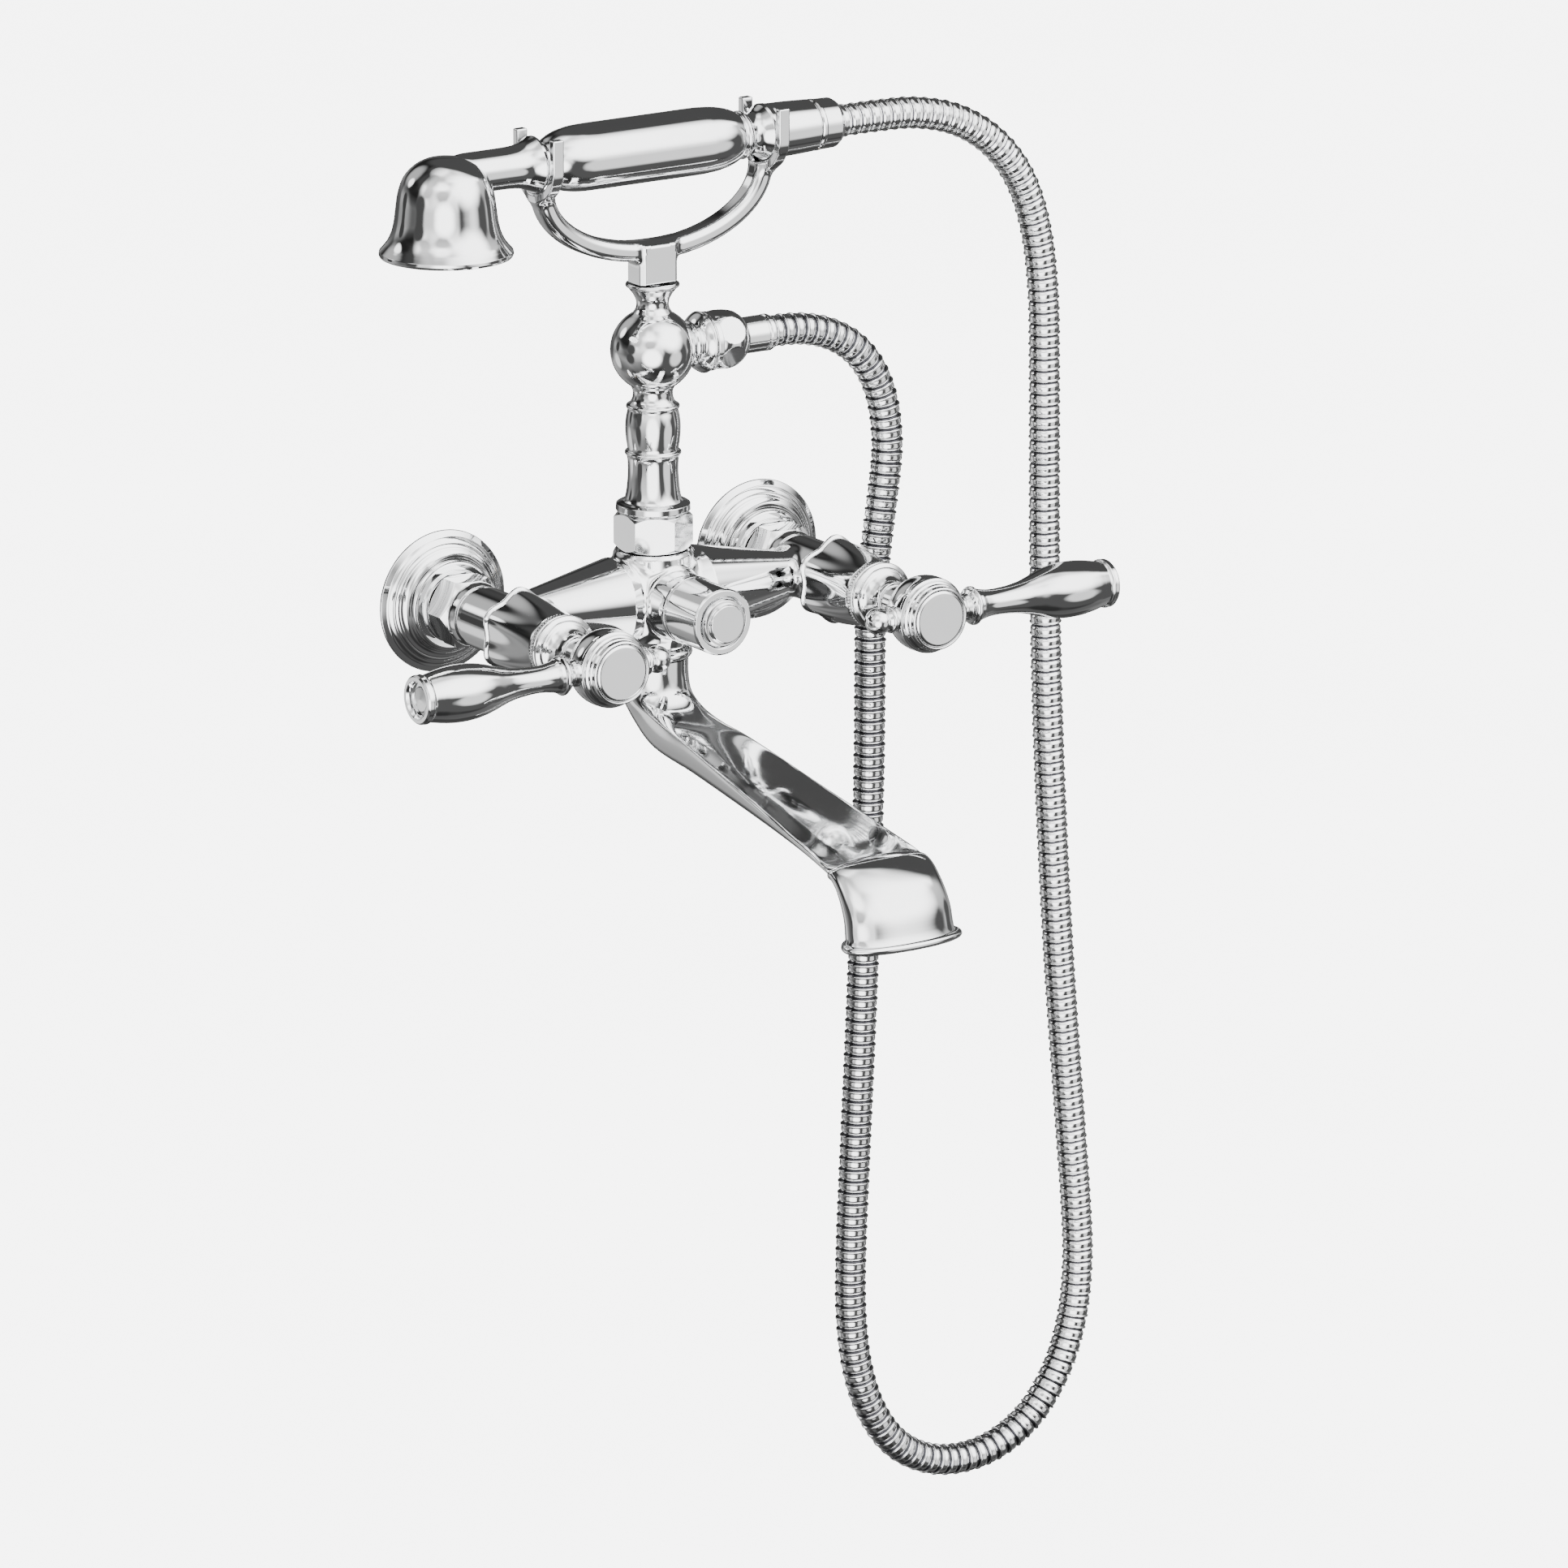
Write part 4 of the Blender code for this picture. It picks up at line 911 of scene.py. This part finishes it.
SPOUT_HOOD = (
    (231, -89.6, 230, -94, 18, 2, 0, 2, 1.8),
    (235.5, -84.8, 233, -97.2, 24.8, 4.6, 0, 2, 1.8),
    (239, -82, 235.6, -98.8, 26.9, 5.4, 0, 2, 1.8),
    (244, -81.7, 237.6, -100.6, 27.3, 7, 0, 2, 1.9),
    (251, -84.6, 240.6, -102.8, 27.6, 9, 0, 2.1, 2),
    (260, -92.4, 243.8, -107, 28, 10.8, 0, 2.1, 2.2),
    (266, -102.5, 245.6, -111, 28.4, 11.4, 0, 2.2, 2.3),
    (269.2, -115, 246.4, -115.6, 28.8, 11.6, 0, 2.2, 2.4),
)
SPOUT_CAVITY = (
    (266.6, -124, 248.8, -124, 26), (266.2, -113, 248.8, -112.4, 26),
    (262.4, -102, 247, -107.4, 24), (252, -92, 241, -100.6, 20),
    (234, -89.9, 232, -93.9, 14), (186, -80.4, 184.4, -87.2, 12.5),
)


def spout_ring(station, segments, flare=0.0):
    """One closed section of the spout, let out by the flare."""
    out_a, z_a, out_b, z_b, half, shoulder, dish, top_square, under_square = station
    top, under = Vector((0, -out_a, z_a)), Vector((0, -out_b, z_b))
    down = (under - top).normalized()
    top, under = top - down * flare, under + down * flare
    depth = (under - top).length
    half += flare
    ring = []
    for a in angles_of(segments):
        c, s = math.cos(a), math.sin(a)
        power = 2.0 / (top_square if s > 0 else under_square)
        across = math.copysign(abs(c) ** power, c)
        height = abs(s) ** power
        drop = shoulder * (1 - height) if s > 0 else shoulder + (depth - shoulder) * height
        drop -= dish * across * across
        ring.append(top + down * drop + Vector((half * across, 0, 0)))
    return ring


def between(stations, steps):
    """Smooth stations between the given ones."""
    rows = [np.array(row, float) for row in stations]
    rows = [2 * rows[0] - rows[1], *rows, 2 * rows[-1] - rows[-2]]
    result = []
    for i in range(1, len(rows) - 2):
        for k in range(steps):
            result.append(tuple(through(rows[i - 1:i + 3], k / steps)))
    result.append(tuple(rows[-2]))
    return result


def closed_loft(name, rings):
    points = [p for ring in rings for p in ring]
    return piece_from(name, points, grid_faces(len(rings), len(rings[0]), False, True, True))


def spout():
    """Neck and dished arm, hood over the mouth with a bead, and the hollow in it."""
    segments = 96
    spigot = []
    for r, z in ((12.0, -18.0), (12.0, -20.4), (10.6, -20.4), (10.6, -23.0), (12.0, -23.0),
                 (12, -29.7)):
        spigot.append([Vector((r * math.cos(a), -RISER_OUT - r * math.sin(a), z))
                       for a in angles_of(segments)])
    arm_rings = spigot + [spout_ring(row, segments) for row in between(SPOUT_ARM, 5)]
    arm = closed_loft("spout_casting", arm_rings)
    hood_rings = [spout_ring(row, segments) for row in between(SPOUT_HOOD, 6)]
    lip = SPOUT_HOOD[-1]
    bead = 2.0
    for i in range(13):
        a = math.radians(-100 + 190 * i / 12)
        z = lip[1] - 3.6 - bead * math.sin(a)
        row = (lip[0], z, lip[2], z, *lip[4:])
        hood_rings.append(spout_ring(row, segments, 0.9 + bead * math.cos(a)))
    hood = closed_loft("hood_form", hood_rings)
    hollow = []
    for out_a, z_a, out_b, z_b, half in between(SPOUT_CAVITY, 4):
        depth = math.dist((out_a, z_a), (out_b, z_b)) / 2
        hollow.append(spout_ring((out_a, z_a, out_b, z_b, half, depth, 0.0, 2.0, 2.0), 64))
    cavity = closed_loft("hollow_form", hollow)
    combine(arm, hood, "UNION")
    combine(arm, cavity, "DIFFERENCE")
    arm.data.shade_smooth()
    arm.data.set_sharp_from_angle(angle=math.radians(32))
    finish(arm, "spout", "chrome", ["spout"])
    collar = [
        (12.4, -29.7), (15.8, -29.7, 0.3), *ball_ring(16.2, -27, 2.3, -80, 80),
        (15.8, -24.3, 0.3), (12.4, -24.3),
    ]
    turned("spout_ring", collar, (0, -RISER_OUT, 0), "up", "root", "spout_collar")


def combine(obj, tool, operation):
    """Apply a boolean with a tool and delete the tool."""
    modifier = obj.modifiers.new("cut", "BOOLEAN")
    modifier.operation = operation
    modifier.object = tool
    modifier.solver = "EXACT"
    graph = bpy.context.evaluated_depsgraph_get()
    mesh = bpy.data.meshes.new_from_object(obj.evaluated_get(graph))
    obj.modifiers.clear()
    obj.data = mesh
    bpy.data.objects.remove(tool, do_unlink=True)


# ---- hand shower
def bell():
    outer = flowing(((0.02, 226.8), (4.5, 226.6), (9, 225.7), (13.2, 223.8), (16.8, 221),
                     (19.6, 217.6), (21.6, 213.2), (22.9, 208), (23.7, 202), (24.5, 196),
                     (25.8, 191), (27.8, 186.8), (30.2, 183.7)), 4)
    outline = [
        (0, 226.8, 0), *outer[1:], (31.4, 182.4, 0.5), (31.6, 181, 0.5), (31, 179.8, 0.5),
        (29, 179.6, 0.4), (28.5, 182, 0.3), (24.6, 188, 1), (22.4, 195, 1),
        (21.4, 204, 1), (19.6, 212, 1), (15.4, 218.4, 1), (8, 223, 1), (0, 223.8, 0),
    ]
    turned("bell", outline, (BELL_X, -RISER_OUT, 0), "up", "handset", "handset_bell", 128)


def spray_plate():
    """Plate with rings of soft nozzles, each on its own small seat."""
    outline = [
        (0, 184.4), (26.2, 184.4, 0.3), (28.1, 181.8, 0.3), (27.6, 181, 0.3),
        (25.6, 181, 0.3), (25.2, 181.6, 0.3), (24.4, 181.6, 0.3), (24, 181, 0.3), (0, 180.8),
    ]
    at = (BELL_X, -RISER_OUT, 0)
    plate = spun("spray_face", outline, at, "up", 128)
    finish(plate, "handset", "plastic", ["handset_spray_plate"])
    points, faces = [], []
    for ring, count in ((5.0, 6), (10.0, 12), (15.0, 18), (20.5, 24)):
        for i in range(count):
            a = 2 * math.pi * i / count
            add_nozzle(points, faces, ring * math.cos(a), ring * math.sin(a))
    nozzles = piece_from("spray_nozzles", points, faces, at, "up", sharp=40)
    finish(nozzles, "handset", "rubber", [], "nozzle")


def add_nozzle(points, faces, x, y):
    """Small tapered nozzle with a hole, standing down from the plate."""
    segments = 12
    rows = ((1.5, 181.2), (1.5, 180.7), (1.1, 180.1), (0.95, 179.9), (0.5, 179.9), (0.45, 180.6))
    base = len(points)
    for r, h in rows:
        points += [(x + r * math.cos(a), y + r * math.sin(a), h) for a in angles_of(segments)]
    for face in grid_faces(len(rows), segments, False, True, True):
        faces.append(tuple(base + k for k in face))


def handle_pieces():
    at = (0, -RISER_OUT, HANDSET_Z)
    arm = [
        (7.2, -110.5), *flowing(((8.3, -110.5), (9.2, -107.6), (9.7, -104.6), (9.8, -101)), 4),
        (9.8, -90, 0),
        *flowing(((9.8, -84), (9.9, -80), (10.2, -76), (10.9, -72.6), (12, -69.8),
                  (13.1, -67.6)), 4),
        (13.5, -66.9, 0.3), (13.5, -65.5, 0.4), (11.8, -64.8, 0.3), (11.4, -63.8, 0.3),
        (9.6, -63.2, 0.3), (9.4, -61.4, 0.2), (7.2, -61.4),
    ]
    turned("shower_arm", arm, at, "right", "handset", "handset_arm")
    swell = flowing(((10.2, -60), (11.8, -57.6), (13.4, -54.2), (14.6, -50.2), (15.4, -45.6),
                     (15.85, -40), (15.95, -30), (15.95, 0), (15.95, 22), (15.7, 29),
                     (15.1, 35), (14, 40.2), (12.4, 44.6), (11.2, 46.8)), 5)
    grip = [
        (7.2, -61.1), (9.6, -61.1, 0.3), *swell,
        (10.8, 47.6, 0.3), *ball_ring(10.7, 49.1, 0.9, -70, 80), (7.2, 50.6),
    ]
    turned("shower_grip", grip, at, "right", "handset", "handset_grip", 112)
    throat = flowing(((10.2, 51.6), (9.8, 53.4), (10, 55.4), (10.8, 57.4), (12.2, 59.4)), 4)
    tail = [
        (7.2, 50.9), (10.4, 50.9, 0.3), *throat,
        (13.1, 60.6, 0.4), (13.6, 61.8, 0.5), (13.5, 63.6, 0.5),
        (12.9, 64.6, 0.2), (13.2, 65.6, 0.3), (13, 76), (12.5, 87.8, 0.5), (12, 88.6, 0.3),
        (8.8, 88.6), (8.8, 70), (7.2, 70),
    ]
    turned("shower_tail", tail, at, "right", "handset", "handset_tail")
    cone = [
        (4.8, 85), (8.4, 85), (8.4, 89), (11.9, 89, 0.3), (12.4, 89.8, 0.4),
        (12.4, 91, 0.3), (12.2, 91.6, 0.2), (12, 100, 0.5), (10.4, 102.4, 0.4),
        (9.8, 102.6, 0.2), (4.8, 102.6),
    ]
    turned("hose_cone", cone, at, "right", "handset", "handset_cone_nut")


# ---- inner pieces
INNER = {
    "inlet_washer": "fibre", "cartridge": "brass", "ceramic_disc": "ceramic",
    "lever_screw": "steel", "spindle": "brass",
}
SINGLE = {
    "diverter_stem": "brass", "diverter_seal": "rubber",
    "riser_washer": "fibre", "hose_washer": "rubber", "cradle_set_screw": "steel",
    "spout_o_ring": "rubber", "handset_inner_tube": "brass", "handset_check_valve": "plastic",
    "handset_washer": "rubber",
}


def return_spring():
    """Coil spring round the diverter's stem, as one fixed mesh; the real one shortens as the knob is
    pulled.
    """
    turns, around, wire, reach, low, high = 5, 10, 0.7, 6.1, 54.6, 74.5
    steps = turns * 28
    points = []
    for i in range(steps + 1):
        a = 2 * math.pi * turns * i / steps
        h = low + (high - low) * i / steps
        for b in angles_of(around):
            r = reach + wire * math.cos(b)
            points.append((r * math.cos(a), r * math.sin(a), h + wire * math.sin(b)))
    faces = grid_faces(steps + 1, around, False, True, True)
    piece = piece_from("return_spring", points, faces, (0, 0, 0), "out", sharp=60)
    finish(piece, "root", "steel", ["diverter_spring"])
    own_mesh(piece)


def inner_pieces():
    """The hidden CAD nodes keep their meshes and take a worked material."""
    looks = dict(SINGLE)
    for side in VALVES:
        looks.update({side + "_" + name: kind for name, kind in INNER.items()})
    for node, kind in looks.items():
        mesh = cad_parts[node].data
        mesh.materials.clear()
        mesh.materials.append(MATERIALS[kind])


# ---- studio
FLOOR_Z = -0.75


def floor():
    size = 14.0
    points = [(-size, -size, 0), (size, -size, 0), (size, size, 0), (-size, size, 0)]
    mesh = bpy.data.meshes.new("floor")
    mesh.from_pydata(points, [], [(0, 1, 2, 3)])
    obj = bpy.data.objects.new("floor", mesh)
    obj.location = (0, 0, FLOOR_Z)
    bpy.context.scene.collection.objects.link(obj)
    material = bpy.data.materials.new("pale_floor")
    tree, shader = nodes_of(material)
    two_tone(tree, shader, (0.86, 0.86, 0.86), (0.84, 0.84, 0.84), noise_between(tree, 3.0, 0, 1))
    shader.inputs["Roughness"].default_value = 0.9
    obj.data.materials.append(material)
    obj.visible_glossy = False


def towards(tree, place, direction, inner, outer):
    """1 within the inner angle of a direction and 0 past the outer one."""
    aim = Vector(direction).normalized()
    dot = add(tree, "ShaderNodeVectorMath", operation="DOT_PRODUCT")
    dot.inputs[1].default_value = aim
    tree.links.new(place.outputs["Generated"], dot.inputs[0])
    edge = (math.cos(math.radians(outer)), math.cos(math.radians(inner)))
    return mapped(tree, dot.outputs["Value"], edge, style="SMOOTHSTEP")


# Brightness of the room against height, 0 straight down and 1 straight up.
FRONT_LEVELS = ((0.0, 0.10), (0.15, 0.15), (0.30, 0.38), (0.38, 0.75), (0.5, 1.3), (0.62, 2.6),
                (0.8, 4.4), (1, 3))
BACK_LEVELS = ((0.0, 0.14), (0.2, 0.3), (0.33, 0.6), (0.42, 0.3), (0.5, 0.5), (0.56, 0.2),
               (0.61, 0.07), (0.94, 0.07), (0.97, 1), (1, 2.5))
CARDS = (                  # direction, inner and outer angle, brightness
    ((0.53, -0.80, -0.27), 34, 44, 0.10),
    ((0.53, -0.80, -0.27), 12, 21, 1.30),
    ((0.40, -0.72, 0.56), 14, 41, 4.8),
    ((-0.55, -0.80, -0.20), 16, 30, 4.8),
    ((-0.25, 0.80, 0.50), 8, 24, 0.62),
    ((-0.50, 0.75, 0.40), 5, 11, 3),
    ((-0.50, 0.80, -0.38), 6, 13, 1.2),
    ((-0.60, 0.80, 0.00), 6, 9, 0.06),
    ((-0.97, 0.05, 0.10), 9, 15, 0.08),
    ((-0.97, 0.10, -0.27), 9, 15, 0.08),
    ((0.99, -0.10, -0.27), 7, 12, 0.10),
    ((0.99, -0.10, 0.00), 7, 12, 0.10),
    ((0.62, 0.42, 0.66), 27, 37, 0.08),
    ((0.84, -0.20, -0.50), 6, 11, 0.10),
    ((0.50, 0.30, -0.80), 6, 10, 0.06),
    ((0.53, 0.80, -0.27), 17, 30, 0.09),
)
DARKEST_PATCH = 0.30


def level_ramp(tree, value, levels):
    """Grey level for a value from 0 to 1, through the given levels."""
    base = add(tree, "ShaderNodeValToRGB")
    ramp = base.color_ramp
    ramp.elements.remove(ramp.elements[1])
    for i, (at, level) in enumerate(levels):
        element = ramp.elements[0] if i == 0 else ramp.elements.new(at)
        element.position = at
        element.color = (level, level, level, 1.0)
    tree.links.new(value, base.inputs["Fac"])
    return base.outputs["Color"]


def dimmed(tree, place, colour):
    """Broad soft patches, so the room is nowhere one even tone."""
    patches = add(tree, "ShaderNodeTexNoise", Scale=1.8, Detail=0.0, Distortion=0.3)
    tree.links.new(place.outputs["Generated"], patches.inputs["Vector"])
    level = mapped(tree, patches.outputs["Fac"], (0.38, 0.60), (1.0, DARKEST_PATCH), "SMOOTHSTEP")
    scaled = add(tree, "ShaderNodeVectorMath", operation="SCALE")
    tree.links.new(colour, scaled.inputs[0])
    tree.links.new(level, scaled.inputs["Scale"])
    return scaled.outputs["Vector"]


def studio():
    """White tent with dark cards, which draw the edges of the polished metal."""
    world = bpy.data.worlds.new("studio")
    world.use_nodes = True
    bpy.context.scene.world = world
    tree = world.node_tree
    background = tree.nodes["Background"]
    place = add(tree, "ShaderNodeTexCoord")
    parts = add(tree, "ShaderNodeSeparateXYZ")
    tree.links.new(place.outputs["Generated"], parts.inputs[0])
    height = mapped(tree, parts.outputs["Z"], (-1.0, 1.0))
    front = level_ramp(tree, height, FRONT_LEVELS)
    back = level_ramp(tree, height, BACK_LEVELS)
    behind = mapped(tree, parts.outputs["Y"], (-0.05, 0.30), style="SMOOTHSTEP")
    colour = dimmed(tree, place, blended(tree, front, back, behind))
    for direction, inner, outer, level in CARDS:
        mask = towards(tree, place, direction, inner, outer)
        colour = blended(tree, colour, (level, level, level), mask)
    tree.links.new(colour, background.inputs["Color"])
    background.inputs["Strength"].default_value = 1.0


def sun():
    """High soft light that keeps the floor white and leaves no streak on the metal."""
    data = bpy.data.lights.new("sun", "SUN")
    data.energy = 20.0
    data.angle = math.radians(25)
    obj = bpy.data.objects.new("sun", data)
    obj.rotation_euler = (math.radians(-12), 0, 0)
    obj.visible_glossy = False
    bpy.context.scene.collection.objects.link(obj)


def main():
    camera()
    MATERIALS.update(make_materials())
    hose()
    body = cast("body_casting", "mixer_body", 0.8, body_distance)
    finish(body, "root", "chrome", ["mixer_body"])
    holder = cast("handset_cradle", "cradle", 0.6, cradle_distance)
    finish(holder, "root", "chrome", ["cradle"])
    for side, x in VALVES.items():
        at = (x, 0, 0)
        escutcheon(side, at)
        threaded_pipe(side, at)
        union_nut(side, at)
        bonnet_cover(side, at)
        toothed_ring(side, at)
        lever_hub(side, at)
        lever_handle(side, (x, -HUB_OUT, 0))
        lever_finial(side, (x, -HUB_OUT, 0))
        face_cap(side, at)
    diverter_pieces()
    riser_pieces()
    outlet_pieces()
    spout()
    bell()
    spray_plate()
    handle_pieces()
    return_spring()
    inner_pieces()
    floor()
    studio()
    sun()


main()
